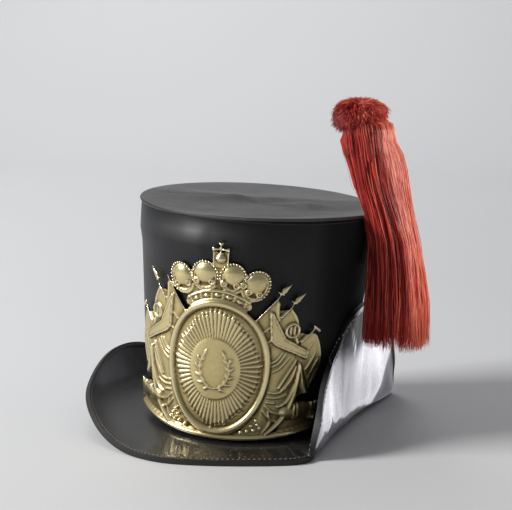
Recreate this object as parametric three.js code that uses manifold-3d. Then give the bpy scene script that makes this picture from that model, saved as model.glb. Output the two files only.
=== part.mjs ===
// A tall leather military hat of the early nineteenth century, in millimetres, +Z up.
// The front with its stamped brass plate faces -Y. The wearer's left is +X: there the brim is folded
// up as a tall flap and the plume hangs. On the wearer's right the brim curls up.
// The hat stands on its brim, which touches the floor at the front and at the back.

import * as THREE from 'three';
import Module from 'manifold-3d';
import { mergeVertices } from 'three/addons/utils/BufferGeometryUtils.js';

const solids = await Module();
solids.setup();

// Driving dimensions, in millimetres and degrees

const LEATHER = 2.5;
const GAP = 0.3;

// crown: an oval tube that widens upwards and leans towards the wearer's left
const CROWN_HEIGHT = 172.4;
const BASE_HALF_WIDTH = 82;
const BASE_HALF_LENGTH = 100;
const FLARE_WIDTH = 15.4;
const FLARE_LENGTH = 17.4;
const CROWN_LEAN = 4.38;
const BASE_LIFT = 13.4;
const BASE_DIP = 4.3;

// the rim stands a little higher towards the front left
const RIM_RISE = 3.5;
const RIM_RISE_TURN = 42;

// tip: the leather disc that closes the crown
const TIP_OVERHANG = 0.6;
const TIP_SAG = 5;

// brim, its curl on the right and its flap on the left
const BRIM_WIDTH = 47;
const CURL_HEIGHT = 48;
const FLAP_HEIGHT = 105;
const FOLD_RADIUS = 6;

// leather strip that wraps the brim's edge
const BINDING_THICKNESS = 0.8;
const BINDING_WIDTH = 4.2;

// brass plate, bent round the front of the crown
const PLATE_HALF_WIDTH = 90;
const PLATE_HEIGHT = 153;
const PLATE_THICKNESS = 1.6;
const PLATE_STANDOFF = 0.45;
const RELIEF = 4.5;
const OVAL_HALF_WIDTH = 0.472 * PLATE_HALF_WIDTH;
const OVAL_HALF_HEIGHT = 0.36 * PLATE_HEIGHT;
const OVAL_FRAME = 5;
const BOSS_HALF_WIDTH = 0.495 * OVAL_HALF_WIDTH;
const BOSS_HALF_HEIGHT = 0.475 * OVAL_HALF_HEIGHT;
const RAY_COUNT = 36;

// plume: a stem, a round head and a fall of hair
const STEM_RADIUS = 1.5;
const PLUME_BACK = -28;
const HEAD_LEVEL = 259.5;
const HEAD_SETBACK = 10;
const HEAD_RADIUS = 21.5;
const HEAD_HALF_HEIGHT = 13;
const HAIR_LENGTH = 176;
const HAIR_HALF_WIDTH = 28.5;
const HAIR_HALF_DEPTH = 25;

// Materials

function finish(color, roughness, metalness) {
  return new THREE.MeshStandardMaterial({ color, roughness, metalness });
}

const BLACK_LEATHER = finish(0x1b1c20, 0.35, 0);
const GREY_LEATHER = finish(0x4a4b4e, 0.5, 0);
const DARK_LEATHER = finish(0x111114, 0.5, 0);
const BRASS = finish(0xb5a268, 0.35, 1);
const RED_HAIR = finish(0xa83228, 0.7, 0);
const IRON = finish(0x3a3a3a, 0.6, 0.8);

// Small helpers

const radians = THREE.MathUtils.degToRad;
const lerp = THREE.MathUtils.lerp;
const vec = (x, y, z) => new THREE.Vector3(x, y, z);

function meshFrom(name, geometry, material) {
  const mesh = new THREE.Mesh(geometry, material);
  mesh.name = name;
  return mesh;
}

// Turns an indexed surface the right way round and gives it normals.
function closedGeometry(points, triangles) {
  let volume = 0;
  for (const [a, b, c] of triangles) {
    volume += points[a].dot(points[b].clone().cross(points[c]));
  }
  const index = volume < 0 ? triangles.map(([a, b, c]) => [a, c, b]) : triangles;
  const geometry = new THREE.BufferGeometry();
  geometry.setAttribute('position', new THREE.Float32BufferAttribute(points.flatMap((p) => p.toArray()), 3));
  geometry.setIndex(index.flat());
  geometry.computeVertexNormals();
  return geometry;
}

// A ring of closed sections, joined all the way round, such as a tube that bites its tail.
function ringSolid(sections) {
  const size = sections[0].length;
  const triangles = [];
  for (let i = 0; i < sections.length; i++) {
    const here = i * size;
    const next = ((i + 1) % sections.length) * size;
    for (let j = 0; j < size; j++) {
      const k = (j + 1) % size;
      triangles.push([here + j, next + j, next + k], [here + j, next + k, here + k]);
    }
  }
  return closedGeometry(sections.flat(), triangles);
}

// A stack of closed sections with a point at each end.
function stackSolid(sections, first, last) {
  const size = sections[0].length;
  const points = [...sections.flat(), first, last];
  const triangles = [];
  for (let j = 0; j < size; j++) {
    const k = (j + 1) % size;
    const end = (sections.length - 1) * size;
    triangles.push([points.length - 2, k, j], [points.length - 1, end + j, end + k]);
    for (let i = 0; i + 1 < sections.length; i++) {
      const here = i * size;
      const next = here + size;
      triangles.push([here + j, here + k, next + k], [here + j, next + k, next + j]);
    }
  }
  return closedGeometry(points, triangles);
}

function solidFrom(geometry) {
  const bare = geometry.clone();
  bare.deleteAttribute('normal');
  bare.deleteAttribute('uv');
  const merged = mergeVertices(bare, 1e-4);
  const vertProperties = Float32Array.from(merged.attributes.position.array);
  const triVerts = Uint32Array.from(merged.index.array);
  return new solids.Manifold(new solids.Mesh({ numProp: 3, vertProperties, triVerts }));
}

function geometryFrom(solid) {
  const { vertProperties, triVerts, numProp } = solid.getMesh();
  const position = [];
  for (let i = 0; i < vertProperties.length; i += numProp) {
    position.push(vertProperties[i], vertProperties[i + 1], vertProperties[i + 2]);
  }
  const geometry = new THREE.BufferGeometry();
  geometry.setAttribute('position', new THREE.Float32BufferAttribute(position, 3));
  geometry.setIndex([...triVerts]);
  geometry.computeVertexNormals();
  return geometry;
}

const joined = (geometries) => geometries.map(solidFrom).reduce((whole, piece) => whole.add(piece));

// Crown frame: h is the height above the base plane, turn runs from the front towards +X

// The crown's half sizes at a height, or those of a like oval further out.
function crownHalves(h, out = 0) {
  const share = h / CROWN_HEIGHT;
  return { x: BASE_HALF_WIDTH + FLARE_WIDTH * share + out, y: BASE_HALF_LENGTH + FLARE_LENGTH * share + out };
}

function crownPoint(turn, h, out = 0) {
  const half = crownHalves(h, out);
  return vec(half.x * Math.sin(turn), -half.y * Math.cos(turn), h);
}

const baseLine = (turn) => -BASE_DIP * Math.cos(turn) ** 2;

// The crown frame is tipped about +Y and lifted off the floor.
function toFloorFrame(point) {
  return point.clone().applyAxisAngle(vec(0, 1, 0), radians(CROWN_LEAN)).add(vec(0, 0, BASE_LIFT));
}

function toCrownFrame(point) {
  return point.clone().sub(vec(0, 0, BASE_LIFT)).applyAxisAngle(vec(0, 1, 0), radians(-CROWN_LEAN));
}

const rimRise = (turn) => RIM_RISE * Math.max(0, Math.cos(turn - radians(RIM_RISE_TURN))) ** 2;

const CROWN_SIDES = 48;
const CROWN_LEVELS = 2;
const WALL_TOP = CROWN_HEIGHT - LEATHER - GAP;

function crownWall() {
  const sections = [];
  for (let i = 0; i < CROWN_SIDES; i++) {
    const turn = (i / CROWN_SIDES) * 2 * Math.PI;
    const outer = [];
    const inner = [];
    for (let level = 0; level <= CROWN_LEVELS; level++) {
      const h = lerp(baseLine(turn), WALL_TOP + rimRise(turn), level / CROWN_LEVELS);
      outer.push(crownPoint(turn, h));
      inner.unshift(crownPoint(turn, h, -LEATHER));
    }
    sections.push([...outer, ...inner]);
  }
  return ringSolid(sections);
}

// Where the tip's leather lies above or below its rim. Places and spreads are shares of the tip's
// half sizes, lifts are shares of the sag.
const TIP_FORMS = [
  // across, along, spread_across, spread_along, lift
  { across: 0.0, along: 0.18, spread_across: 1.4, spread_along: 0.1, lift: 0.75 },
  { across: 0.35, along: -0.62, spread_across: 0.28, spread_along: 0.2, lift: -0.6 },
  { across: -0.3, along: -0.45, spread_across: 0.35, spread_along: 0.3, lift: -0.25 },
  { across: 0.55, along: 0.0, spread_across: 0.2, spread_along: 0.3, lift: -0.4 },
];

// The tip lies flat where it is seated on the wall, and its forms fade out towards that seat.
const TIP_SEAT = 1 - (2 * LEATHER) / BASE_HALF_WIDTH;
const TIP_REST_LIFT = -0.6;

function tipLift(across, along) {
  const slack = 1 - (across ** 2 + along ** 2) / TIP_SEAT ** 2;
  let lift = TIP_REST_LIFT;
  for (const form of TIP_FORMS) {
    const x = (across - form.across) / form.spread_across;
    const y = (along - form.along) / form.spread_along;
    lift += form.lift * Math.exp(-x * x - y * y);
  }
  return TIP_SAG * lift * Math.min(1, 2 * Math.max(0, slack));
}

const TIP_RINGS = 5;

function crownTip() {
  const layer = (drop) => {
    const rings = [];
    for (let ring = 1; ring <= TIP_RINGS; ring++) {
      const share = ring < TIP_RINGS ? TIP_SEAT * Math.sqrt(ring / (TIP_RINGS - 1)) : 1;
      const points = [];
      for (let i = 0; i < CROWN_SIDES; i++) {
        const turn = (i / CROWN_SIDES) * 2 * Math.PI;
        const rim = crownPoint(turn, CROWN_HEIGHT, TIP_OVERHANG);
        const lift = tipLift(share * Math.sin(turn), -share * Math.cos(turn)) + rimRise(turn) * share * share;
        points.push(vec(rim.x * share, rim.y * share, CROWN_HEIGHT - drop + lift));
      }
      rings.push(points);
    }
    return rings;
  };
  const under = layer(LEATHER);
  const over = layer(0);
  const centre = tipLift(0, 0) + CROWN_HEIGHT;
  return stackSolid([...under, ...over.reverse()], vec(0, 0, centre - LEATHER), vec(0, 0, centre));
}

// Brim: each row is a section across the brim at one turn about the crown's base. Its leather runs
// from under the crown's wall to a fold and on to the edge. Reaches are shares of BRIM_WIDTH.

const EDGE_MARGIN = GAP + BINDING_THICKNESS;
const REST_LEVEL = LEATHER / 2 + EDGE_MARGIN;
const LEANING_CLEARANCE = REST_LEVEL + 2 * GAP;

// Rises are shares of CURL_HEIGHT, fold is a share of the reach.
const OPEN_ROWS = [
  { turn: -180, reach: 1.02, rise: 0, fold: 0.62, fold_rise: 0 },
  { turn: -164, reach: 1.04, rise: 0, fold: 0.62, fold_rise: 0 },
  { turn: -153, reach: 1.05, rise: 0.1, fold: 0.62, fold_rise: 0.02 },
  { turn: -138, reach: 1.07, rise: 0.45, fold: 0.64, fold_rise: 0.1 },
  { turn: -121, reach: 1.085, rise: 0.89, fold: 0.66, fold_rise: 0.18 },
  { turn: -108, reach: 1.1, rise: 1, fold: 0.68, fold_rise: 0.22 },
  { turn: -96, reach: 1.095, rise: 0.9, fold: 0.7, fold_rise: 0.22 },
  { turn: -82.5, reach: 1.09, rise: 0.64, fold: 0.7, fold_rise: 0.18 },
  { turn: -66, reach: 1.07, rise: 0.5, fold: 0.7, fold_rise: 0.12 },
  { turn: -51, reach: 1.05, rise: 0.28, fold: 0.68, fold_rise: 0.06 },
  { turn: -40, reach: 1.035, rise: 0.1, fold: 0.64, fold_rise: 0.02 },
  { turn: -27.5, reach: 1.04, rise: 0, fold: 0.62, fold_rise: 0 },
  { turn: -16, reach: 1.06, rise: 0, fold: 0.62, fold_rise: 0 },
  { turn: -7.5, reach: 1.02, rise: 0, fold: 0.62, fold_rise: 0 },
  { turn: 7.5, reach: 0.94, rise: 0, fold: 0.62, fold_rise: 0 },
  { turn: 20.5, reach: 0.96, rise: 0, fold: 0.62, fold_rise: 0 },
  { turn: 32, reach: 1.07, rise: 0, fold: 0.66, fold_rise: 0 },
  { turn: 36.5, reach: 1.04, rise: 0, fold: 0.74, fold_rise: 0 },
  { turn: 38.9, reach: 0.985, rise: 0, fold: 0.86, fold_rise: 0 },
];

// Rises are shares of FLAP_HEIGHT.
const FLAP_ROWS = [
  { turn: 40.4, fold: 0.94, reach: 0.94, rise: 0.16, fold_rise: 0.01 },
  { turn: 42.7, fold: 0.88, reach: 0.88, rise: 0.3, fold_rise: 0.02 },
  { turn: 46, fold: 0.77, reach: 0.74, rise: 0.42, fold_rise: 0.025 },
  { turn: 50.4, fold: 0.61, reach: 0.59, rise: 0.555, fold_rise: 0.025 },
  { turn: 55.8, fold: 0.45, reach: 0.445, rise: 0.62, fold_rise: 0.025 },
  { turn: 61.6, fold: 0.34, reach: 0.34, rise: 0.68, fold_rise: 0.025 },
  { turn: 66.3, fold: 0.27, reach: 0.31, rise: 0.78, fold_rise: 0.025 },
  { turn: 70.2, fold: 0.235, reach: 0.35, rise: 0.93, fold_rise: 0.025 },
  { turn: 77, fold: 0.2, reach: 0.375, rise: 0.975, fold_rise: 0.025 },
  { turn: 84.4, fold: 0.19, reach: 0.39, rise: 0.99, fold_rise: 0.025 },
  { turn: 93, fold: 0.21, reach: 0.4, rise: 0.985, fold_rise: 0.025 },
  { turn: 104, fold: 0.33, reach: 0.48, rise: 0.93, fold_rise: 0.02 },
  { turn: 116.5, fold: 0.62, reach: 0.73, rise: 0.77, fold_rise: 0.015 },
  { turn: 126, fold: 1.02, reach: 1.1, rise: 0.56, fold_rise: 0.01 },
  { turn: 130.5, fold: 1.25, reach: 1.32, rise: 0.39, fold_rise: 0.005 },
  { turn: 132.8, fold: 1.34, reach: 1.385, rise: 0.22, fold_rise: 0.005 },
  { turn: 134.2, fold: 1.36, reach: 1.385, rise: 0.09, fold_rise: 0 },
];

const BACK_ROWS = [
  { turn: 135.6, reach: 1.4, rise: 0, fold: 0.9, fold_rise: 0 },
  { turn: 139, reach: 1.37, rise: 0, fold: 0.76, fold_rise: 0 },
  { turn: 147, reach: 1.32, rise: 0, fold: 0.66, fold_rise: 0 },
  { turn: 163, reach: 1.12, rise: 0, fold: 0.62, fold_rise: 0 },
];

function brimPlace(turn, out, level) {
  return vec((BASE_HALF_WIDTH + out) * Math.sin(turn), -(BASE_HALF_LENGTH + out) * Math.cos(turn), level);
}

// The brim's inner edge lies flat under the crown's wall.
function brimRoot(turn, out) {
  const seat = toFloorFrame(crownPoint(turn, baseLine(turn), out));
  return seat.sub(vec(0, 0, GAP + LEATHER / 2));
}

// How far out a bound edge lies where it leans on the crown's side at a level.
function leaningReach(turn, level) {
  let near = 0;
  let far = BRIM_WIDTH;
  for (let step = 0; step < 24; step++) {
    const middle = (near + far) / 2;
    const local = toCrownFrame(brimPlace(turn, middle, level));
    const side = crownHalves(local.z, LEANING_CLEARANCE);
    const outside = (local.x / side.x) ** 2 + (local.y / side.y) ** 2 > 1;
    near = outside ? near : middle;
    far = outside ? middle : far;
  }
  return far;
}

function brimRow(row, height, folded) {
  const turn = radians(row.turn);
  const span = height - REST_LEVEL - EDGE_MARGIN;
  const edgeLevel = REST_LEVEL + row.rise * span;
  const flatReach = row.reach * BRIM_WIDTH - EDGE_MARGIN;
  const reach = folded ? Math.max(row.reach * BRIM_WIDTH, leaningReach(turn, edgeLevel)) : flatReach;
  const foldOut = folded ? row.fold * BRIM_WIDTH : row.fold * reach;
  return {
    root: brimRoot(turn, -LEATHER),
    seat: brimRoot(turn, 0),
    fold: brimPlace(turn, foldOut, REST_LEVEL + row.fold_rise * span),
    edge: brimPlace(turn, reach, edgeLevel),
  };
}

const BRIM_ROWS = [
  ...OPEN_ROWS.map((row) => brimRow(row, CURL_HEIGHT, false)),
  ...FLAP_ROWS.map((row) => brimRow(row, FLAP_HEIGHT, true)),
  ...BACK_ROWS.map((row) => brimRow(row, CURL_HEIGHT, false)),
];

const BRIM_STATIONS = 62;
const HEM_WIDTH = BINDING_WIDTH - EDGE_MARGIN;

function brimCurve(key) {
  return new THREE.CatmullRomCurve3(BRIM_ROWS.map((row) => row[key]), true, 'centripetal');
}

// The mid surface: for each station its points from the root to the edge, with the fold rounded.
// The last two points are the hem, as far in as the binding reaches, and the edge.
function brimSurface() {
  const rootCurve = brimCurve('root');
  const seatCurve = brimCurve('seat');
  const foldCurve = brimCurve('fold');
  const edgeCurve = brimCurve('edge');
  const rows = [];
  for (let i = 0; i < BRIM_STATIONS; i++) {
    const t = i / BRIM_STATIONS;
    const root = rootCurve.getPoint(t);
    const seat = seatCurve.getPoint(t);
    const fold = foldCurve.getPoint(t);
    const edge = edgeCurve.getPoint(t);
    const inward = seat.clone().sub(fold);
    const onward = edge.clone().sub(fold);
    const opened = THREE.MathUtils.smoothstep(inward.angleTo(onward), radians(95), radians(118));
    const inwardShare = lerp(FOLD_RADIUS / inward.length(), 0.85, opened);
    const onwardShare = lerp(FOLD_RADIUS / onward.length(), 0.6, opened);
    const start = fold.clone().addScaledVector(inward, Math.min(0.85, inwardShare));
    const end = fold.clone().addScaledVector(onward, Math.min(0.6, onwardShare));
    const bend = new THREE.QuadraticBezierCurve3(start, fold, end).getPoints(4);
    const hem = edge.clone().lerp(end, Math.min(0.6, HEM_WIDTH / edge.distanceTo(end)));
    rows.push([root, seat, ...bend, hem, edge]);
  }
  return rows;
}

// Directions across the sheet and out of its upper face, at one point of the mid surface.
function sheetAxes(rows, i, j) {
  const before = rows[(i + rows.length - 1) % rows.length];
  const after = rows[(i + 1) % rows.length];
  const last = rows[i].length - 1;
  const along = after[j].clone().sub(before[j]).normalize();
  const across = rows[i][Math.min(last, j + 1)].clone().sub(rows[i][Math.max(0, j - 1)]).normalize();
  const up = across.clone().cross(along).normalize();
  return { along, across: along.clone().cross(up).normalize(), up };
}

function brim(rows) {
  const sections = rows.map((row, i) => {
    const upper = [];
    const lower = [];
    row.forEach((point, j) => {
      const up = j < 2 ? vec(0, 0, 1) : sheetAxes(rows, i, j).up;
      upper.push(point.clone().addScaledVector(up, LEATHER / 2));
      lower.unshift(point.clone().addScaledVector(up, -LEATHER / 2));
    });
    return [...upper, ...lower];
  });
  return ringSolid(sections);
}

// The binding is a U round the brim's edge: inner faces a gap off the leather, outer faces beyond.
function brimBinding(rows) {
  const inside = LEATHER / 2 + GAP;
  const outside = inside + BINDING_THICKNESS;
  const sections = rows.map((row, i) => {
    const last = row.length - 1;
    const hemAxes = sheetAxes(rows, i, last - 1);
    const edgeAxes = sheetAxes(rows, i, last);
    const hem = (up) => row[last - 1].clone().addScaledVector(hemAxes.up, up);
    const edge = (up, beyond) => {
      return row[last].clone().addScaledVector(edgeAxes.up, up).addScaledVector(edgeAxes.across, beyond);
    };
    const section = [
      hem(inside),
      edge(inside, GAP),
      edge(-inside, GAP),
      hem(-inside),
      hem(-outside),
      edge(-outside, EDGE_MARGIN),
      edge(outside, EDGE_MARGIN),
      hem(outside),
    ];
    return section.map((point) => vec(point.x, point.y, Math.max(0, point.z)));
  });
  return ringSolid(sections);
}

// Front plate: its pieces are made flat, u along the crown's front, v up from the crown's base and
// w out of the crown. They are joined, split into short stretches and bent round the crown.

const BEND_LEVEL = PLATE_HEIGHT / 2;
const BEND_STRETCH = 14;
const FINEST_DETAIL = 0.12;

// The turn about the crown at which a length u along its front is reached, at the bending level.
function turnAt(u) {
  const half = crownHalves(BEND_LEVEL, PLATE_STANDOFF);
  const steps = 60;
  let turn = 0;
  for (let step = 0; step < steps; step++) {
    const speed = Math.hypot(half.x * Math.cos(turn), half.y * Math.sin(turn));
    turn += u / steps / speed;
  }
  return turn;
}

function bentOnCrown(flat) {
  const turn = turnAt(flat.x);
  const foot = crownPoint(turn, flat.y, PLATE_STANDOFF);
  const ahead = crownPoint(turn + 1e-3, flat.y, PLATE_STANDOFF).sub(foot);
  const above = crownPoint(turn, flat.y + 1, PLATE_STANDOFF).sub(foot);
  return foot.addScaledVector(ahead.cross(above).normalize(), flat.z);
}

// Halves each edge that runs too far along u, until none does, and bends the result.
function bentPlate(solid) {
  const { vertProperties, triVerts, numProp } = solid.getMesh();
  const points = [];
  for (let i = 0; i < vertProperties.length; i += numProp) {
    points.push(vec(vertProperties[i], vertProperties[i + 1], vertProperties[i + 2]));
  }
  let triangles = [];
  for (let i = 0; i < triVerts.length; i += 3) {
    triangles.push([triVerts[i], triVerts[i + 1], triVerts[i + 2]]);
  }
  const middles = new Map();
  const middleOf = (a, b) => {
    if (Math.abs(points[a].x - points[b].x) <= BEND_STRETCH) return -1;
    const key = a < b ? `${a} ${b}` : `${b} ${a}`;
    if (!middles.has(key)) {
      middles.set(key, points.length);
      points.push(points[a].clone().lerp(points[b], 0.5));
    }
    return middles.get(key);
  };
  let changed = true;
  while (changed) {
    changed = false;
    const next = [];
    for (const [a, b, c] of triangles) {
      const lengths = [[a, b, c], [b, c, a], [c, a, b]].map(([p, q, r]) => {
        return { p, q, r, run: Math.abs(points[p].x - points[q].x) };
      });
      const widest = lengths.reduce((x, y) => (y.run > x.run ? y : x));
      const middle = middleOf(widest.p, widest.q);
      if (middle < 0) {
        next.push([a, b, c]);
      } else {
        next.push([widest.p, middle, widest.r], [middle, widest.q, widest.r]);
        changed = true;
      }
    }
    triangles = next;
  }
  return closedGeometry(points.map(bentOnCrown), triangles);
}

// Flat pieces of the plate

// A sheet of an outline given as [u, v] pairs in millimetres.
function sheet(outline, thickness = PLATE_THICKNESS) {
  const shape = new THREE.Shape(outline.map(([u, v]) => new THREE.Vector2(u, v)));
  return new THREE.ExtrudeGeometry(shape, { depth: thickness, bevelEnabled: false });
}

function ellipsePoint(half, angle) {
  return [half[0] * Math.sin(angle), half[1] * Math.cos(angle)];
}

// A low dome on an elliptic foot: [u, v] centre, half sizes, height and tilt in degrees.
function dome(centre, half, height, sides = 12, tilt = 0, rings = 2) {
  const sections = [];
  for (let ring = 0; ring <= rings; ring++) {
    const share = ring === 0 ? 1 : Math.cos(((ring - 1) / rings) * (Math.PI / 2));
    const level = ring === 0 ? 0 : lerp(0.55, 1, Math.sin(((ring - 1) / rings) * (Math.PI / 2))) * height;
    const points = [];
    for (let i = 0; i < sides; i++) {
      const [u, v] = ellipsePoint([half[0] * share, half[1] * share], (i / sides) * 2 * Math.PI);
      const point = vec(u, v, level).applyAxisAngle(vec(0, 0, 1), radians(tilt));
      points.push(point.add(vec(centre[0], centre[1], 0)));
    }
    sections.push(points);
  }
  return stackSolid(sections, vec(centre[0], centre[1], 0), vec(centre[0], centre[1], height));
}

// A raised bar along a path of [u, v, width] points, highest along its middle.
function rib(path, height) {
  const sections = path.map(([u, v, width], i) => {
    const [u0, v0] = path[Math.max(0, i - 1)];
    const [u1, v1] = path[Math.min(path.length - 1, i + 1)];
    const side = vec(v0 - v1, u1 - u0, 0).normalize().multiplyScalar(width / 2);
    const foot = vec(u, v, 0);
    return [
      foot.clone().add(side),
      foot.clone().addScaledVector(side, 0.5).setZ(height),
      foot.clone().addScaledVector(side, -0.5).setZ(height),
      foot.clone().sub(side),
    ];
  });
  const centreOf = (section) => {
    return section.reduce((sum, point) => sum.add(point), vec(0, 0, 0)).divideScalar(section.length);
  };
  return stackSolid(sections, centreOf(sections[0]), centreOf(sections[sections.length - 1]));
}

// A raised elliptic ring with a rounded face.
function ringRib(centre, half, width, height, sides) {
  const sections = [];
  for (let i = 0; i < sides; i++) {
    const angle = (i / sides) * 2 * Math.PI;
    const at = (inset, level) => {
      const [u, v] = ellipsePoint([half[0] - inset, half[1] - inset], angle);
      return vec(centre[0] + u, centre[1] + v, level);
    };
    sections.push([at(0, 0), at(width * 0.25, height), at(width * 0.7, height), at(width, 0)]);
  }
  return ringSolid(sections);
}

// A point of an ellipse, and a row of them, by angles in degrees clockwise from its top.
function spot(centre, half, angle) {
  const [u, v] = ellipsePoint(half, radians(angle));
  return [centre[0] + u, centre[1] + v];
}

function arc(centre, half, from, to, steps) {
  const points = [];
  for (let i = 0; i <= steps; i++) {
    points.push(spot(centre, half, lerp(from, to, i / steps)));
  }
  return points;
}

// A whole outline from its right half, given from the foot up.
const bothSides = (right) => [...right, ...right.map(([u, v]) => [-u, v]).reverse()];

// Places on the plate are shares of its half width (u) and of its height (v).
const place = ([u, v]) => [u * PLATE_HALF_WIDTH, v * PLATE_HEIGHT];

// The oval: sunburst, boss with a laurel spray and a rounded frame

const OVAL_CENTRE = [0, OVAL_HALF_HEIGHT - 1];

function sunburst() {
  const field = [OVAL_HALF_WIDTH - OVAL_FRAME - 1, OVAL_HALF_HEIGHT - OVAL_FRAME - 1];
  const heart = [BOSS_HALF_WIDTH - 1, BOSS_HALF_HEIGHT - 1];
  const ridge = PLATE_THICKNESS + 0.3 * RELIEF;
  const groove = PLATE_THICKNESS + 0.06 * RELIEF;
  const steps = RAY_COUNT * 2;
  const foot = [];
  const tips = [];
  const hub = [];
  for (let i = 0; i < steps; i++) {
    const angle = (i / steps) * 2 * Math.PI;
    const diagonal = Math.abs(Math.sin(2 * angle));
    const length = 1 - 0.13 * diagonal * diagonal - (i % 4 === 0 ? 0.03 : 0);
    const level = i % 2 === 0 ? ridge : groove;
    const outer = ellipsePoint([field[0] * length, field[1] * length], angle);
    const inner = ellipsePoint(heart, angle);
    foot.push(vec(outer[0], outer[1] + OVAL_CENTRE[1], 0));
    tips.push(vec(outer[0], outer[1] + OVAL_CENTRE[1], level));
    hub.push(vec(inner[0], inner[1] + OVAL_CENTRE[1], level + 0.1 * RELIEF));
  }
  return stackSolid([foot, tips, hub], vec(0, OVAL_CENTRE[1], 0), vec(0, OVAL_CENTRE[1], ridge));
}

// A laurel spray: two stems that cross at the foot, each with pairs of leaves.
const LAUREL_LEAVES = 4;

function laurel(bossTop) {
  const leaves = [];
  for (const side of [-1, 1]) {
    const stem = [];
    for (let i = 0; i <= LAUREL_LEAVES; i++) {
      const share = i / LAUREL_LEAVES;
      const angle = radians(lerp(188, 318, share)) * side;
      const [u, v] = ellipsePoint([0.55 * BOSS_HALF_WIDTH, 0.58 * BOSS_HALF_HEIGHT], -angle);
      stem.push([u, OVAL_CENTRE[1] + v, 1.2]);
    }
    leaves.push(rib(stem, bossTop + 0.5));
    for (let i = 1; i <= LAUREL_LEAVES; i++) {
      const heading = Math.atan2(stem[i][1] - stem[i - 1][1], stem[i][0] - stem[i - 1][0]);
      for (const spread of i === LAUREL_LEAVES ? [0] : [-40, 40]) {
        const lean = heading + radians(spread);
        const centre = [stem[i][0] + 2.8 * Math.cos(lean), stem[i][1] + 2.8 * Math.sin(lean)];
        leaves.push(dome(centre, [3.4, 1.5], bossTop + 1, 4, THREE.MathUtils.radToDeg(lean), 0));
      }
    }
  }
  return leaves;
}

function oval() {
  const field = sheet(arc(OVAL_CENTRE, [OVAL_HALF_WIDTH - 1, OVAL_HALF_HEIGHT - 1], 0, 350, 35));
  const bossTop = 0.8 * RELIEF;
  return [
    field,
    sunburst(),
    ringRib(OVAL_CENTRE, [OVAL_HALF_WIDTH, OVAL_HALF_HEIGHT], OVAL_FRAME, RELIEF, 36),
    dome(OVAL_CENTRE, [BOSS_HALF_WIDTH, BOSS_HALF_HEIGHT], bossTop, 20, 0, 1),
    ...laurel(bossTop),
  ];
}

// Heraldic crown: four pearl-edged lobes on a jewelled band, with an orb and a cross.
const CROWN_LOBES = [
  { u: -0.318, v: 0.797, half_u: 0.112, half_v: 0.083, tilt: 28 },
  { u: -0.118, v: 0.835, half_u: 0.118, half_v: 0.078, tilt: 0 },
  { u: 0.105, v: 0.835, half_u: 0.112, half_v: 0.078, tilt: 0 },
  { u: 0.292, v: 0.797, half_u: 0.112, half_v: 0.083, tilt: -28 },
];
const LOBE_EDGE = 2.4;
const PEARLS = 9;
const PEARLS_FROM = -95;
const PEARLS_TO = 125;
const PEARL_RADIUS = 1.3;
const BAND_JEWELS = 7;
const BAND_WIDTH = 9;
const BAND_ANGLE = 35;
const BAND_OFFSET = 0.04 * PLATE_HEIGHT;
const JEWEL_ANGLE = 29;
const LOBE_FOOT_ANGLE = 33;
const LOBE_FOOT_OFFSET = 0.105 * PLATE_HEIGHT;

function crownLobe(lobe) {
  const centre = place([lobe.u, lobe.v]);
  const half = place([lobe.half_u, lobe.half_v]);
  const inner = half.map((size) => size - LOBE_EDGE);
  const pieces = [
    dome(centre, half, 0.45 * RELIEF, 12, lobe.tilt, 0),
    dome(centre, inner, RELIEF, 12, lobe.tilt, 1),
  ];
  for (let i = 0; i < PEARLS; i++) {
    const angle = Math.sign(lobe.u) * lerp(PEARLS_FROM, PEARLS_TO, i / (PEARLS - 1));
    const [u, v] = spot([0, 0], half.map((size) => size - LOBE_EDGE / 2), angle);
    const turned = vec(u, v, 0).applyAxisAngle(vec(0, 0, 1), radians(lobe.tilt));
    const spotOnEdge = [centre[0] + turned.x, centre[1] + turned.y];
    pieces.push(dome(spotOnEdge, [PEARL_RADIUS, PEARL_RADIUS], 0.85 * RELIEF, 4, 45, 0));
  }
  return pieces;
}

// The cross stands on the orb: narrow at its middle, wider towards the end of each arm.
function orbAndCross() {
  const orb = place([0, 0.925]);
  const backing = [[0.07, 0.88], [0.07, 0.975], [0.033, 0.985]].map(place);
  const foot = orb[1] + 3.5;
  const arm = (foot + PLATE_HEIGHT) / 2;
  const cross = [
    [2.8, foot], [1, arm - 1], [4.2, arm - 2.6], [4.2, arm + 2.6], [1, arm + 1], [2.8, PLATE_HEIGHT],
  ];
  return [
    sheet(bothSides(backing)),
    dome(orb, [4.2, 4.2], RELIEF, 10, 0, 2),
    sheet(bothSides(cross), 0.8 * RELIEF),
  ];
}

function heraldicCrown() {
  const frameHalf = [OVAL_HALF_WIDTH, OVAL_HALF_HEIGHT];
  const bandHalf = frameHalf.map((size) => size + BAND_OFFSET);
  const lobeFootHalf = frameHalf.map((size) => size + LOBE_FOOT_OFFSET);
  const band = arc(OVAL_CENTRE, bandHalf, -BAND_ANGLE, BAND_ANGLE, 14);
  const underLobes = arc(OVAL_CENTRE, lobeFootHalf, -LOBE_FOOT_ANGLE, LOBE_FOOT_ANGLE, 12);
  const onFrame = arc(OVAL_CENTRE, frameHalf, LOBE_FOOT_ANGLE, -LOBE_FOOT_ANGLE, 12);
  const pieces = [
    rib(band.map(([u, v]) => [u, v, BAND_WIDTH]), 0.6 * RELIEF),
    sheet([...onFrame, ...underLobes]),
  ];
  for (let i = 0; i < BAND_JEWELS; i++) {
    const jewel = spot(OVAL_CENTRE, bandHalf, lerp(-JEWEL_ANGLE, JEWEL_ANGLE, i / (BAND_JEWELS - 1)));
    pieces.push(dome(jewel, [2, 2], 0.95 * RELIEF, 4, 0, 0));
  }
  return [...pieces, ...CROWN_LOBES.flatMap(crownLobe), ...orbAndCross()];
}

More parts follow.
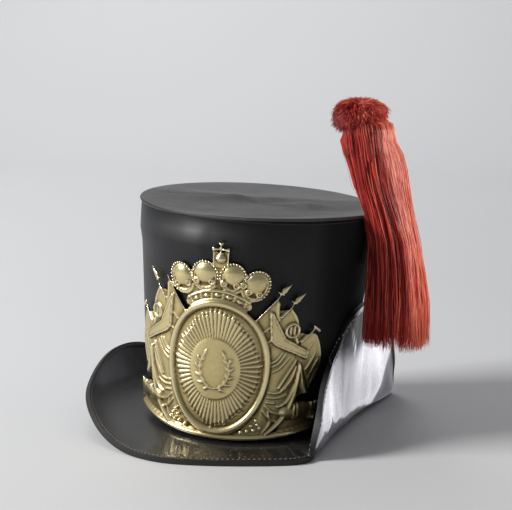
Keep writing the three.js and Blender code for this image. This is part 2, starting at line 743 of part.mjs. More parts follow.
// The trophy of arms beside the oval, made for the wearer's left and mirrored.
const TROPHY_OUTLINE = [
  [0.3, 0.6], [0.48, 0.73], [0.53, 0.67], [0.6, 0.69], [0.7, 0.61], [0.73, 0.53], [0.83, 0.58],
  [0.89, 0.575], [0.95, 0.5], [0.98, 0.42], [0.97, 0.34], [0.91, 0.26], [0.8, 0.21], [0.73, 0.26],
  [0.67, 0.14], [0.56, 0.05], [0.45, 0], [0.1, 0],
];

// Flag poles, spear shafts, straps and folds: a foot, a head, both widths in mm and a share of RELIEF.
const TROPHY_RIBS = [
  { foot: [0.29, 0.61], head: [0.5, 0.76], wide: 2.2, narrow: 2.2, height: 0.75 },
  { foot: [0.52, 0.65], head: [0.62, 0.71], wide: 2.2, narrow: 2.2, height: 0.75 },
  { foot: [0.76, 0.52], head: [0.86, 0.585], wide: 3, narrow: 3, height: 0.8 },
  { foot: [0.47, 0.53], head: [0.79, 0.44], wide: 6.5, narrow: 5, height: 0.85 },
  { foot: [0.42, 0.66], head: [0.47, 0.5], wide: 2.5, narrow: 5, height: 0.7 },
  { foot: [0.51, 0.645], head: [0.59, 0.52], wide: 5, narrow: 3, height: 0.7 },
  { foot: [0.7, 0.41], head: [0.54, 0.27], wide: 3, narrow: 6, height: 0.8 },
  { foot: [0.6, 0.46], head: [0.48, 0.37], wide: 3, narrow: 2, height: 0.6 },
  { foot: [0.66, 0.24], head: [0.55, 0.16], wide: 3, narrow: 4, height: 0.6 },
  { foot: [0.93, 0.47], head: [0.84, 0.3], wide: 2, narrow: 5, height: 0.6 },
];

const BALL_PILE = [
  [0.25, 0.03], [0.315, 0.035], [0.38, 0.045], [0.44, 0.055], [0.345, 0.065], [0.405, 0.08], [0.375, 0.1],
];

function trophy() {
  const pieces = [sheet(TROPHY_OUTLINE.map(place))];
  for (const { foot, head, wide, narrow, height } of TROPHY_RIBS) {
    pieces.push(rib([[...place(foot), wide], [...place(head), narrow]], height * RELIEF));
  }
  for (const [u, v] of BALL_PILE.map(place)) {
    pieces.push(dome([u, v], [2.2, 2.2], 0.95 * RELIEF, 4, 45, 0));
  }
  // two spearheads, the knob of a flag pole, the knot and the tassel's drop
  pieces.push(dome(place([0.545, 0.785]), [3.2, 7], 0.8 * RELIEF, 6, -42, 1));
  pieces.push(dome(place([0.67, 0.735]), [3.2, 7], 0.8 * RELIEF, 6, -42, 1));
  pieces.push(dome(place([0.865, 0.585]), [4, 2.6], 0.9 * RELIEF, 8, -30, 1));
  pieces.push(ringRib(place([0.635, 0.57]), [5.6, 5.2], 2.4, 0.9 * RELIEF, 14));
  pieces.push(dome(place([0.795, 0.3]), [3.6, 13], 0.85 * RELIEF, 10, 18, 1));
  // the outer drape and the cannon's barrel with its muzzle ring
  const drape = [[0.7, 0.4, 4], [0.73, 0.3, 6], [0.67, 0.17, 7], [0.57, 0.075, 6], [0.45, 0.01, 4]];
  pieces.push(rib(drape.map(([u, v, width]) => [...place([u, v]), width]), 0.85 * RELIEF));
  pieces.push(rib([[...place([0.62, 0.12]), 8], [...place([0.93, 0.145]), 9.5]], 0.9 * RELIEF));
  pieces.push(rib([[...place([0.9, 0.142]), 11], [...place([0.95, 0.147]), 14]], RELIEF));
  return pieces;
}

// The half-round moulding along the crown's base, which rises towards its ends.
const MOULDING_HALF_LENGTH = 1.04 * PLATE_HALF_WIDTH;
const MOULDING_WIDTH = 5;
const MOULDING_RISE = 8;
const MOULDING_STEPS = 16;

function baseMoulding() {
  const path = [];
  for (let i = 0; i <= MOULDING_STEPS; i++) {
    const share = (i / MOULDING_STEPS) * 2 - 1;
    const level = MOULDING_WIDTH / 2 + GAP - BASE_DIP + MOULDING_RISE * share * share;
    path.push([share * MOULDING_HALF_LENGTH, level, MOULDING_WIDTH]);
  }
  return rib(path, RELIEF);
}

function frontPlate() {
  const arms = joined(trophy());
  const whole = joined([...oval(), ...heraldicCrown(), baseMoulding()]).add(arms).add(arms.mirror([1, 0, 0]));
  return bentPlate(whole.simplify(FINEST_DETAIL));
}

// Plume

const RIM_SIDE = toFloorFrame(crownPoint(Math.PI / 2, CROWN_HEIGHT));
const HEAD_CENTRE = vec(RIM_SIDE.x - HEAD_SETBACK, PLUME_BACK, HEAD_LEVEL);

// The stem runs up the crown's left side, past the rim and into the head. Levels are heights above
// the crown's base as shares of CROWN_HEIGHT.
function stemPath() {
  const seated = GAP + STEM_RADIUS;
  const clear = TIP_OVERHANG + seated;
  const points = [[0.78, seated], [0.86, seated], [0.95, clear], [1.03, clear]].map(([share, out]) => {
    const side = crownPoint(Math.PI / 2, share * CROWN_HEIGHT, out);
    side.x *= Math.sqrt(1 - (PLUME_BACK / (BASE_HALF_LENGTH + FLARE_LENGTH * share)) ** 2);
    side.y = PLUME_BACK;
    return toFloorFrame(side);
  });
  points.push(vec(lerp(points[3].x, HEAD_CENTRE.x, 0.6), PLUME_BACK, HEAD_CENTRE.z - 2 * HEAD_HALF_HEIGHT));
  points.push(HEAD_CENTRE);
  return new THREE.CatmullRomCurve3(points);
}

function rod(radius) {
  const circle = new THREE.Shape().absarc(0, 0, radius, 0, 2 * Math.PI);
  return new THREE.ExtrudeGeometry(circle, { steps: 12, curveSegments: 4, extrudePath: stemPath() });
}

function withoutStem(geometry) {
  return geometryFrom(solidFrom(geometry).subtract(solidFrom(rod(STEM_RADIUS + GAP))));
}

// Pushes a point of the hair out of the crown's side, up to a little above the rim.
const RIM_MARGIN = 8;

function clearOfCrown(point) {
  const local = toCrownFrame(point);
  if (local.z > CROWN_HEIGHT + RIM_MARGIN) return point;
  const side = crownHalves(Math.min(local.z, CROWN_HEIGHT), TIP_OVERHANG + 2 * GAP);
  const depth = Math.hypot(local.x / side.x, local.y / side.y);
  if (depth < 1) {
    local.x /= depth;
    local.y /= depth;
  }
  return toFloorFrame(local);
}

// The hair's sections from the head down. Drop is a share of HAIR_LENGTH, out a share of
// HAIR_HALF_WIDTH from the head's centre, the others are shares of the hair's half sizes.
const HAIR_ROWS = [
  { drop: 0, out: 0.18, width: 0.78, depth: 0.76 },
  { drop: 0.1, out: 0.37, width: 0.88, depth: 0.84 },
  { drop: 0.2, out: 0.57, width: 0.84, depth: 0.88 },
  { drop: 0.29, out: 0.63, width: 0.8, depth: 0.9 },
  { drop: 0.36, out: 0.79, width: 0.74, depth: 0.92 },
  { drop: 0.45, out: 0.93, width: 0.75, depth: 0.93 },
  { drop: 0.57, out: 1.02, width: 0.79, depth: 0.95 },
  { drop: 0.7, out: 1.07, width: 0.86, depth: 0.97 },
  { drop: 0.84, out: 1.08, width: 0.92, depth: 1 },
  { drop: 0.95, out: 1.06, width: 0.97, depth: 1 },
];
const LOCKS = 12;

function plumeHair() {
  const top = HEAD_CENTRE.z - HEAD_FOOT - GAP;
  const sections = HAIR_ROWS.map((row, level) => {
    const points = [];
    for (let i = 0; i < 2 * LOCKS; i++) {
      const angle = (i / (2 * LOCKS)) * 2 * Math.PI + 0.25 * row.drop;
      const lock = i % 2 === 0 ? 1 : 1 - 0.12 * row.drop - 0.04;
      const jag = 0.03 * Math.sin(2.6 * i) + (i % 2 ? 0.02 : -0.02) + 0.04 * Math.cos(angle) ** 2;
      const ragged = level === HAIR_ROWS.length - 1 ? jag : 0;
      points.push(clearOfCrown(vec(
        HEAD_CENTRE.x + HAIR_HALF_WIDTH * (row.out + row.width * lock * Math.cos(angle)),
        PLUME_BACK + HAIR_HALF_DEPTH * row.depth * lock * Math.sin(angle),
        top - HAIR_LENGTH * (row.drop - ragged),
      )));
    }
    return points;
  });
  const last = HAIR_ROWS[HAIR_ROWS.length - 1];
  const foot = vec(HEAD_CENTRE.x + HAIR_HALF_WIDTH * last.out, PLUME_BACK, top - HAIR_LENGTH * 0.98);
  const crest = vec(HEAD_CENTRE.x + HAIR_HALF_WIDTH * HAIR_ROWS[0].out, PLUME_BACK, top);
  return withoutStem(stackSolid(sections, crest, foot));
}

// The head is a round tuft, flat below where the hair starts, with a rough surface.
const HEAD_FOOT = HEAD_HALF_HEIGHT - 1;
const HEAD_SIDES = 16;
const HEAD_RINGS = 6;

function plumeHead() {
  const sections = [];
  for (let ring = 0; ring <= HEAD_RINGS; ring++) {
    const rise = lerp(-HEAD_FOOT, 0.93 * HEAD_HALF_HEIGHT, ring / HEAD_RINGS);
    const share = (1 - (rise / HEAD_HALF_HEIGHT) ** 4) ** 0.5;
    const points = [];
    for (let i = 0; i < HEAD_SIDES; i++) {
      const angle = (i / HEAD_SIDES) * 2 * Math.PI;
      const rough = 1 + 0.04 * Math.sin(5 * i + 2 * ring) * (ring > 0 ? 1 : 0);
      const radius = HEAD_RADIUS * Math.max(0.55, share) * rough;
      points.push(vec(radius * Math.cos(angle), radius * Math.sin(angle), rise).add(HEAD_CENTRE));
    }
    sections.push(points);
  }
  const ends = [-HEAD_FOOT, HEAD_HALF_HEIGHT].map((rise) => HEAD_CENTRE.clone().add(vec(0, 0, rise)));
  return withoutStem(stackSolid(sections, ends[0], ends[1]));
}

const brimRows = brimSurface();

const hat = new THREE.Group();
const crown = new THREE.Group();
crown.rotation.y = radians(CROWN_LEAN);
crown.position.z = BASE_LIFT;
hat.add(crown);

crown.add(meshFrom('crown_wall', crownWall(), BLACK_LEATHER));
crown.add(meshFrom('crown_tip', crownTip(), GREY_LEATHER));
crown.add(meshFrom('front_plate', frontPlate(), BRASS));
hat.add(meshFrom('brim', brim(brimRows), BLACK_LEATHER));
hat.add(meshFrom('brim_binding', brimBinding(brimRows), DARK_LEATHER));
hat.add(meshFrom('plume_stem', rod(STEM_RADIUS), IRON));
hat.add(meshFrom('plume_head', plumeHead(), RED_HAIR));
hat.add(meshFrom('plume_hair', plumeHair(), RED_HAIR));

// The origin is on the floor under the middle of the hat's box.
const reach = new THREE.Box3().setFromObject(hat, true);
const middle = reach.getCenter(new THREE.Vector3());
hat.position.set(-middle.x, -middle.y, -reach.min.z);

export default hat;
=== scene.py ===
import math

import bpy
import numpy as np
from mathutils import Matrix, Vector
from mathutils.bvhtree import BVHTree
from mathutils.noise import noise


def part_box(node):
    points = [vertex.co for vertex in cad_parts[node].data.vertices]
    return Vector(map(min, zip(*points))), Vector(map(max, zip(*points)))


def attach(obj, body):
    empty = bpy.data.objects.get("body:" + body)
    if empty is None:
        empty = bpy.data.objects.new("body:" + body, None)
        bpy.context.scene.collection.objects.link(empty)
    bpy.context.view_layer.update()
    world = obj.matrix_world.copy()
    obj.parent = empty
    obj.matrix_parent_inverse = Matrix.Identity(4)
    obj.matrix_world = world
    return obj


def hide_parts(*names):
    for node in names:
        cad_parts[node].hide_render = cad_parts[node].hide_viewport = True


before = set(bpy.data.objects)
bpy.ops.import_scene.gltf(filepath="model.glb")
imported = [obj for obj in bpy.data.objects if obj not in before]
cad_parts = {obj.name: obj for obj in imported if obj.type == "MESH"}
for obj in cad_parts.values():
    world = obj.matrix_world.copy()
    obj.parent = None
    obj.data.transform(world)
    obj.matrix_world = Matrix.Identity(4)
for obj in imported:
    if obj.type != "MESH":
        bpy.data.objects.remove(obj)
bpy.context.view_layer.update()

MM = 0.001

# Where the crown's base centre lies in the frame, how the crown leans and how high it is
CROWN_FOOT = Vector((-11.22, -0.65, 13.4)) * MM
CROWN_LEAN = math.radians(4.38)
CROWN_HEIGHT = 172.4 * MM

# Half sizes of the crown's outer oval at its base, and how much more they are at its top, in millimetres
BASE_HALF = np.array([82.0, 100.0])
FLARE = np.array([15.4, 17.4])

# Camera, fitted to the photograph
CAMERA_AZIMUTH = math.radians(14.5)
CAMERA_REACH = 1.25
CAMERA_HEIGHT = 0.333
AIM_SIDE = 8.1 * MM
AIM_HEIGHT = 139.5 * MM
CAMERA_LENS = 106.7
SENSOR_WIDTH = 36

# How a CAD mesh is prepared for smoothing
MERGE_GAP = 0.02 * MM
QUAD_ANGLE = math.radians(60)
SHARP_ANGLE = math.radians(50)
SHARPNESS = 0.75
SMOOTH_ANGLE = math.radians(40)


# Small helpers for modelling

def deselect_all():
    bpy.ops.object.select_all(action="DESELECT")


def make_active(piece):
    deselect_all()
    piece.select_set(True)
    bpy.context.view_layer.objects.active = piece


def named(name, material):
    piece = bpy.context.object
    piece.name = name
    piece.data.name = name
    piece.data.materials.clear()
    piece.data.materials.append(material)
    return piece


def copy_of_node(node, name, material):
    """A merged copy of a CAD node's mesh in quads, to be finished as a new piece."""
    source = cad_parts[node]
    mesh = source.data.copy()
    mesh.transform(source.matrix_world)
    piece = bpy.data.objects.new(name, mesh)
    bpy.context.scene.collection.objects.link(piece)
    make_active(piece)
    bpy.ops.object.mode_set(mode="EDIT")
    bpy.ops.mesh.select_all(action="SELECT")
    bpy.ops.mesh.remove_doubles(threshold=MERGE_GAP)
    bpy.ops.mesh.tris_convert_to_quads(face_threshold=QUAD_ANGLE, shape_threshold=QUAD_ANGLE)
    bpy.ops.mesh.select_mode(type="EDGE")
    bpy.ops.mesh.select_all(action="DESELECT")
    bpy.ops.mesh.edges_select_sharp(sharpness=SHARP_ANGLE)
    bpy.ops.transform.edge_crease(value=SHARPNESS)
    bpy.ops.object.mode_set(mode="OBJECT")
    return named(name, material)


def apply_modifier(piece, kind, **settings):
    make_active(piece)
    modifier = piece.modifiers.new(kind.title(), kind)
    for key, value in settings.items():
        setattr(modifier, key, value)
    bpy.ops.object.modifier_apply(modifier=modifier.name)


def subdivide_smooth(piece, levels):
    apply_modifier(piece, "SUBSURF", levels=levels, render_levels=levels)
    make_active(piece)
    bpy.ops.object.shade_smooth_by_angle(angle=SMOOTH_ANGLE)


def move_vertices(piece, shift):
    """Sculpts a piece: shift(place, normal) gives how far each vertex moves."""
    mesh = piece.data
    moves = [shift(v.co.copy(), v.normal.copy()) for v in mesh.vertices]
    for vertex, move in zip(mesh.vertices, moves):
        vertex.co += move
    mesh.update()


def paint(piece, name, values):
    """Stores one number per vertex, for the materials to read."""
    piece.data.attributes.new(name, "FLOAT", "POINT").data.foreach_set("value", values)


def mesh_piece(name, vertices, faces, material):
    mesh = bpy.data.meshes.new(name)
    mesh.from_pydata([tuple(v) for v in vertices], [], faces)
    mesh.materials.append(material)
    piece = bpy.data.objects.new(name, mesh)
    bpy.context.scene.collection.objects.link(piece)
    make_active(piece)
    bpy.ops.object.shade_smooth()
    return piece


def part_of_hat(piece, slot, *nodes):
    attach(piece, "root")
    if nodes:
        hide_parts(*nodes)


def tree_of_piece(piece):
    mesh = piece.data
    vertices = [v.co.copy() for v in mesh.vertices]
    return BVHTree.FromPolygons(vertices, [tuple(p.vertices) for p in mesh.polygons])


def eased(value):
    """0 below 0, 1 above 1, and a soft rise between."""
    value = np.clip(value, 0, 1)
    return value * value * (3 - 2 * value)


def hump(away, reach):
    """1 in the middle, and fading out softly with the distance from it."""
    return math.exp(-((away / reach) ** 2))


def smooth_path(points, steps=6):
    """A Catmull-Rom curve through points, each with any number of values."""
    points = np.array(points, float)
    ends = np.vstack([2 * points[0] - points[1], points, 2 * points[-1] - points[-2]])
    path = []
    for i in range(1, len(ends) - 2):
        a, b, c, d = ends[i - 1:i + 3]
        for t in np.arange(steps) / steps:
            bend = (2 * a - 5 * b + 4 * c - d) * t**2
            twist = (3 * b - a - 3 * c + d) * t**3
            path.append(0.5 * (2 * b + (c - a) * t + bend + twist))
    return np.array(path + [points[-1]])


def to_frame(local):
    """A point of the crown's own frame, in metres, in the object's frame."""
    x, y, z = local
    cos, sin = math.cos(CROWN_LEAN), math.sin(CROWN_LEAN)
    return CROWN_FOOT + Vector((x * cos + z * sin, y, z * cos - x * sin))


def to_crown(place):
    x, y, z = Vector(place) - CROWN_FOOT
    cos, sin = math.cos(CROWN_LEAN), math.sin(CROWN_LEAN)
    return Vector((x * cos - z * sin, y, x * sin + z * cos))


# Shader maths

class Wire:
    """A node socket that takes part in sums. Numbers alone are worked out in Python."""

    def __init__(self, shader, socket):
        self.shader = shader
        self.socket = socket

    def sum_of(self, operation, first, second):
        return self.shader.add("ShaderNodeMath", {"operation": operation}, {0: first, 1: second})

    def __add__(self, other):
        return self.sum_of("ADD", self, other)

    def __radd__(self, other):
        return self.sum_of("ADD", other, self)

    def __sub__(self, other):
        return self.sum_of("SUBTRACT", self, other)

    def __rsub__(self, other):
        return self.sum_of("SUBTRACT", other, self)

    def __mul__(self, other):
        return self.sum_of("MULTIPLY", self, other)

    def at_most(self, other):
        return self.sum_of("MINIMUM", self, other)

    def at_least(self, other):
        return self.sum_of("MAXIMUM", self, other)


class Shader:
    """One node material. Uniform values are set on the shader's own sockets."""

    def __init__(self, name, **settings):
        self.material = bpy.data.materials.new(name)
        self.material.use_nodes = True
        self.tree = self.material.node_tree
        self.tree.nodes.clear()
        output = self.tree.nodes.new("ShaderNodeOutputMaterial")
        self.surface = self.tree.nodes.new("ShaderNodeBsdfPrincipled")
        self.tree.links.new(self.surface.outputs[0], output.inputs["Surface"])
        self.set(**settings)

    def set(self, **settings):
        for key, value in settings.items():
            socket = key.replace("_", " ").title().replace("Ior", "IOR")
            self.put(self.surface.inputs[socket], value)

    def put(self, socket, value):
        if isinstance(value, Wire):
            self.tree.links.new(value.socket, socket)
        else:
            socket.default_value = value

    def add(self, kind, settings=None, inputs=None, output=0):
        node = self.tree.nodes.new(kind)
        for key, value in (settings or {}).items():
            if key == "stops":
                ramp = node.color_ramp
                while len(ramp.elements) < len(value):
                    ramp.elements.new(0.5)
                for element, (place, color) in zip(ramp.elements, value):
                    element.position = place
                    element.color = color
            else:
                setattr(node, key, value)
        for key, value in (inputs or {}).items():
            self.put(node.inputs[key], value)
        return Wire(self, node.outputs[output])

    def cloud(self, scale, detail=3.0, roughness=0.55, stretch=(1, 1, 1)):
        """Noise over the object's own places in metres."""
        here = self.add("ShaderNodeTexCoord", output="Object")
        place = self.add("ShaderNodeMapping", {}, {"Vector": here, "Scale": stretch})
        inputs = {"Vector": place, "Scale": scale, "Detail": detail, "Roughness": roughness}
        return self.add("ShaderNodeTexNoise", {}, inputs)

    def attribute(self, name):
        """A value that the piece's own mesh carries, 0 where it has none."""
        return self.add("ShaderNodeAttribute", {"attribute_name": name}, output="Fac")

    def steps(self, value, *stops):
        """The value sent through a grey ramp with stops of (place, level)."""
        grey = [(place, (level, level, level, 1)) for place, level in stops]
        return self.add("ShaderNodeValToRGB", {"stops": grey}, {0: value})

    def blend(self, share, first, second):
        settings = {"data_type": "RGBA"}
        return self.add("ShaderNodeMix", settings, {0: share, 6: first, 7: second}, output=2)

    def bump(self, height, depth):
        return self.add("ShaderNodeBump", {}, {"Height": height, "Distance": depth, "Strength": 1.0})


def color(red, green, blue):
    return (red, green, blue, 1.0)


# Materials

def crown_leather():
    """Dull polished black leather with a bluish cast, scuffed along the crown's height."""
    shader = Shader("crown_leather", ior=1.36, coat_ior=1.8, coat_roughness=0.28)
    patches = shader.cloud(28, 4)
    grain = shader.cloud(900, 2)
    scuffs = shader.steps(shader.cloud(70, 6, 0.7, (1, 1, 0.35)), (0.56, 0), (0.72, 1))
    # Random dust specks, the leather's own colour.
    dust = shader.steps(shader.cloud(420, 3, 0.6), (0.66, 0), (0.74, 1))
    worn = shader.blend(scuffs * 0.5, color(0.005, 0.0052, 0.0062), color(0.02, 0.02, 0.022))
    rough = patches * 0.16 + scuffs * 0.1 + 0.34 + shader.attribute("dull") * 0.45
    shader.set(
        base_color=shader.blend(dust * 0.2, worn, color(0.07, 0.068, 0.066)),
        roughness=rough.at_most(1.0),
        coat_weight=shader.attribute("sheen") * (1.0 - scuffs * 0.5),
        normal=shader.bump(grain + patches * 3.0, 0.00012),
    )
    return shader.material


def brim_leather():
    """Lacquered leather, glossy where its gloss map is 1, with fine crackle and rubbed patches. The map also
    makes the lacquer's colour lighter, painted highlight, or darker, painted shade.
    """
    shader = Shader("brim_leather", ior=1.48, coat_ior=2.3, coat_roughness=0.12)
    patches = shader.cloud(26, 4)
    waves = shader.cloud(34, 2, 0.4)
    grain = shader.cloud(700, 2)
    crackle = shader.steps(shader.cloud(150, 8, 0.75), (0.485, 0), (0.5, 1), (0.515, 0))
    rubbed = shader.steps(shader.cloud(48, 6, 0.7), (0.56, 0), (0.7, 1))
    polish = shader.attribute("polish")
    cracks = shader.attribute("crack")
    worn = shader.blend(rubbed * 0.5, color(0.006, 0.0058, 0.0062), color(0.026, 0.025, 0.025))
    # Painted light: the lacquer's colour is lighter where the gloss map is high and darker where it is low.
    lacquer = shader.blend(polish * patches, worn, color(0.035, 0.034, 0.038))
    pale = (crackle * polish * 0.4 + cracks * 0.5).at_most(1.0)
    rough = 0.46 + rubbed * 0.1 - polish * 0.22 + shader.attribute("dull") * 0.5
    shader.set(
        base_color=shader.blend(pale, lacquer, color(0.09, 0.085, 0.085)),
        roughness=rough.at_most(1.0),
        coat_weight=(polish * (1.0 - rubbed * 0.35) - cracks * 0.5).at_least(0.0),
        normal=shader.bump(grain * 0.5 + waves * 6.0 - crackle * polish - cracks * 4.0, 0.00018),
    )
    return shader.material


def grey_leather():
    shader = Shader("grey_leather", ior=1.45)
    patches = shader.cloud(22, 5, 0.6)
    fine = shader.cloud(260, 4, 0.65)
    tone = shader.steps(patches * 0.7 + fine * 0.3, (0.3, 0), (0.7, 1))
    clean = shader.blend(tone, color(0.042, 0.042, 0.0425), color(0.09, 0.09, 0.091))
    # Painted light: the tip's colour is lightened behind its fold, where it faces the light.
    painted_light_behind_fold = shader.blend(shader.attribute("dust") * 0.7, clean, color(0.13, 0.13, 0.131))
    # Painted shade: near-black is mixed in along the tip's fold line and in a band behind it, where shade
    # falls.
    shader.set(
        base_color=shader.blend(shader.attribute("crease") * 0.85, painted_light_behind_fold, color(0.008, 0.008, 0.008)),
        roughness=0.56 - tone * 0.12,
        normal=shader.bump(fine + patches * 2.0, 0.00025),
    )
    return shader.material


def binding_leather():
    shader = Shader("binding_leather")
    patches = shader.cloud(60, 4)
    fine = shader.cloud(600, 3)
    shader.set(
        base_color=shader.blend(patches, color(0.004, 0.004, 0.0045), color(0.013, 0.012, 0.012)),
        roughness=patches * 0.25 + 0.42,
        normal=shader.bump(fine + patches, 0.0002),
    )
    return shader.material


def old_brass():
    shader = Shader("old_brass", metallic=1.0)
    patches = shader.cloud(45, 4)
    fine = shader.cloud(500, 3)
    tone = shader.steps(patches * 0.6 + fine * 0.4, (0.32, 0), (0.68, 1))
    hollow = shader.attribute("hollow")
    proud = shader.attribute("proud")
    metal = shader.blend(tone, color(0.56, 0.45, 0.2), color(0.74, 0.62, 0.32))
    polished = shader.blend(proud, metal, color(0.95, 0.87, 0.6))
    tarnish = (hollow * (0.8 + fine * 0.4)).at_most(1.0)
    shader.set(
        base_color=shader.blend(tarnish, polished, color(0.1, 0.062, 0.018)),
        roughness=(0.34 - proud * 0.1 + tarnish * 0.25).at_most(0.8),
        normal=shader.bump(fine + patches, 0.0001),
    )
    return shader.material


def red_hair():
    """Dyed hair. The attribute shade runs from 0, deep in the plume, to 1 on its bright outer side: painted
    shade deep inside and painted light on the side away from the crown, with a random tone per lock.
    """
    shader = Shader("red_hair", ior=1.5, specular_ior_level=0.3)
    streaks = shader.cloud(160, 3, 0.6, (1, 1, 0.06))
    shade = (shader.attribute("shade") + streaks * 0.5 - 0.25).at_most(1.0).at_least(0.0)
    dark = shader.blend((shade * 2.0).at_most(1.0), color(0.1, 0.006, 0.005), color(0.58, 0.035, 0.024))
    shader.set(
        base_color=shader.blend((shade * 2.0 - 1.0).at_least(0.0), dark, color(1.0, 0.31, 0.2)),
        roughness=0.42,
    )
    return shader.material


def plain(name, cloud, first, second, **settings):
    """A material whose colour wavers between two."""
    shader = Shader(name, **settings)
    shader.set(base_color=shader.blend(shader.cloud(*cloud), color(*first), color(*second)))
    return shader.material


CROWN_LEATHER = crown_leather()
BRIM_LEATHER = brim_leather()
GREY_LEATHER = grey_leather()
BINDING_LEATHER = binding_leather()
OLD_BRASS = old_brass()
RED_HAIR = red_hair()
IRON = plain("iron", (200,), (0.006, 0.006, 0.006), (0.02, 0.018, 0.016), metallic=0.3, roughness=0.8)
THREAD = plain("thread", (120,), (0.2, 0.12, 0.09), (0.42, 0.33, 0.27), roughness=0.7)
PALE_FLOOR = plain("pale_floor", (0.8, 2), (0.72, 0.72, 0.725), (0.77, 0.77, 0.77), roughness=0.75)


# Leather pieces

SWELL = 1.6
UNEVENNESS = 0.5


def wall_swell(place, _):
    """The leather swells a little under the rim and is not quite even below it."""
    x, y, z = to_crown(place) / MM
    clear_of_plate = eased((abs(x) - 8) / 14) if y < 0 else 1
    out = SWELL * clear_of_plate * hump(z - 151, 9)
    out += UNEVENNESS * noise(Vector((x / 38, y / 38, z / 60))) * eased(z / 40) * eased((168 - z) / 20)
    radius = math.hypot(x, y)
    return Vector((x / radius, y / radius, -x / radius * math.sin(CROWN_LEAN))) * out * MM


def crown_wall():
    piece = copy_of_node("crown_wall", "crown_side", CROWN_LEATHER)
    subdivide_smooth(piece, 3)
    move_vertices(piece, wall_swell)
    spots = [to_crown(vertex.co) / MM for vertex in piece.data.vertices]
    paint(piece, "sheen", [0.7 * hump(z - 160, 4.5) * hump(x + 26, 32) * eased(-y / 40) for x, y, z in spots])
    paint(piece, "dull", [eased((x - 62) / 18) * eased(-y / 30 + 1.5) for x, y, _ in spots])
    part_of_hat(piece, "black_leather", "crown_wall")


# The crest of the tip's fold, as (x, y), in millimetres in the crown's own frame
FOLD_LINE = ((-92, -14), (-60, -4), (-24, 14), (8, 34), (44, 44), (80, 40))
FOLD_HEIGHT = 3.4
VALLEY_DEPTH = 2.6
# Bumps and dents of the tip: middle (x, y), reach and height
TIP_BUMPS = (
    (36, 10, 13, 1.6), (56, -14, 10, 1.4), (14, -84, 13, -1.8), (-20, 62, 20, -1.4), (-50, -50, 26, -0.8),
)


def behind_fold(x, y):
    return y - np.interp(x, *zip(*FOLD_LINE))


def tip_folds(place, _):
    """A soft fold that drops behind its crest, and shallow dents."""
    x, y, _ = to_crown(place) / MM
    behind = behind_fold(x, y)
    fold = FOLD_HEIGHT * hump(behind, 3.2 if behind > 0 else 15)
    lift = (fold - VALLEY_DEPTH * hump(behind - 10, 8)) * max(0, 1 - (x / 98) ** 4)
    for across, along, reach, height in TIP_BUMPS:
        lift += height * hump(x - across, reach) * hump(y - along, reach)
    lift += 0.35 * noise(Vector((x, y, 0)) / 17)
    rim = (x / 96.5) ** 2 + (y / 116.5) ** 2
    return Vector((0, 0, lift * MM * max(0, 1 - rim**4)))


def crown_tip():
    piece = copy_of_node("crown_tip", "crown_top", GREY_LEATHER)
    subdivide_smooth(piece, 3)
    crease = []
    dust = []
    for vertex in piece.data.vertices:
        x, y, _ = to_crown(vertex.co) / MM
        behind = behind_fold(x, y)
        # Painted shade: a dark line along the fold's crest, and a dark band behind the fold.
        line = hump(behind + 0.6, 2.4) * eased((96 - abs(x)) / 20)
        shaded = 0.75 * hump(behind - 18, 7) * hump(x - 14, 30)
        crease.append(max(line, shaded))
        # Painted light: lighter further behind the fold, where the tip faces the light.
        dust.append(eased((behind - 12) / 16))
    move_vertices(piece, tip_folds)
    paint(piece, "crease", crease)
    paint(piece, "dust", dust)
    part_of_hat(piece, "grey_leather", "crown_tip")


# The brim, in millimetres in the object's frame. Cracks across its upper side: two ends (x, y) and a width.
BRIM_CRACKS = ((12.2, -145, 6, -112, 1.1), (47.5, -99, 63.6, -127, 1.3), (27, -106, 33.7, -129, 0.8))
# Bulges of the folded flap: middle along and up, reach along and up, and height
FLAP_BULGES = ((-74, 16, 32, 15, 2.4), (44, 24, 42, 24, 3.2), (-22, 16, 26, 20, 1.5))
# Where the flap shines more or less, with painted light in the lacquer's colour: middle along and up, reach
# along and up, and change of gloss
FLAP_SHINE = (
    (-22, 85, 46, 19, -1.0), (40, 48, 30, 16, 0.4), (-74, 34, 18, 14, 0.45), (-24, 34, 22, 26, -0.2),
)
# The bright crease near the flap's top, partly a painted highlight in the lacquer's colour: its upper and its
# lower end, along and up
FLAP_CREASE = (-40, 95, -19, 66)


def over_flap(table, y, z):
    return sum(height * hump(y - along, wide) * hump(z - up, tall) for along, up, wide, tall, height in table)


def flap_waves(place, _):
    """The folded flap bulges, and small upright waves run over it."""
    x, y, z = place / MM
    share = eased((x - 62) / 20) * eased((z - 6) / 16)
    out = 1.1 * noise(Vector((0.4, y / 17, z / 45))) + 0.12 * noise(Vector((3.7, y / 6, z / 20)))
    out += over_flap(FLAP_BULGES, y, z) - 2.0 * eased((y - z - 36) / 30)
    return Vector((share * out * MM, 0, 0))


def flap_gloss_and_painted_light(y, z):
    """Gloss over the flap: dull at its top front and beyond its lower fold, bright along the fold line near
    its top. Through the lacquer's colour this is also painted shade where dull and painted highlight where
    bright.
    """
    gloss = 0.65 - 0.55 * eased((y - z - 36) / 8) + over_flap(FLAP_SHINE, y, z)
    y0, z0, y1, z1 = FLAP_CREASE
    if z > z1:
        gloss += 0.8 * hump(y - (y0 + (y1 - y0) * (z - z0) / (z1 - z0)), 1.8)
    return min(1, max(0.03, gloss))


def crack_depth(x, y):
    """1 in the middle of a crack of the brim's upper side, and 0 outside."""
    jag = 1.2 * noise(Vector((x, y, 0)) / 5)
    depth = 0.0
    for x0, y0, x1, y1, width in BRIM_CRACKS:
        dx, dy = x1 - x0, y1 - y0
        share = min(1, max(0, ((x - x0) * dx + (y - y0) * dy) / (dx**2 + dy**2)))
        away = math.hypot(x + jag - x0 - share * dx, y - y0 - share * dy)
        depth = max(depth, 1 - away / width)
    return depth


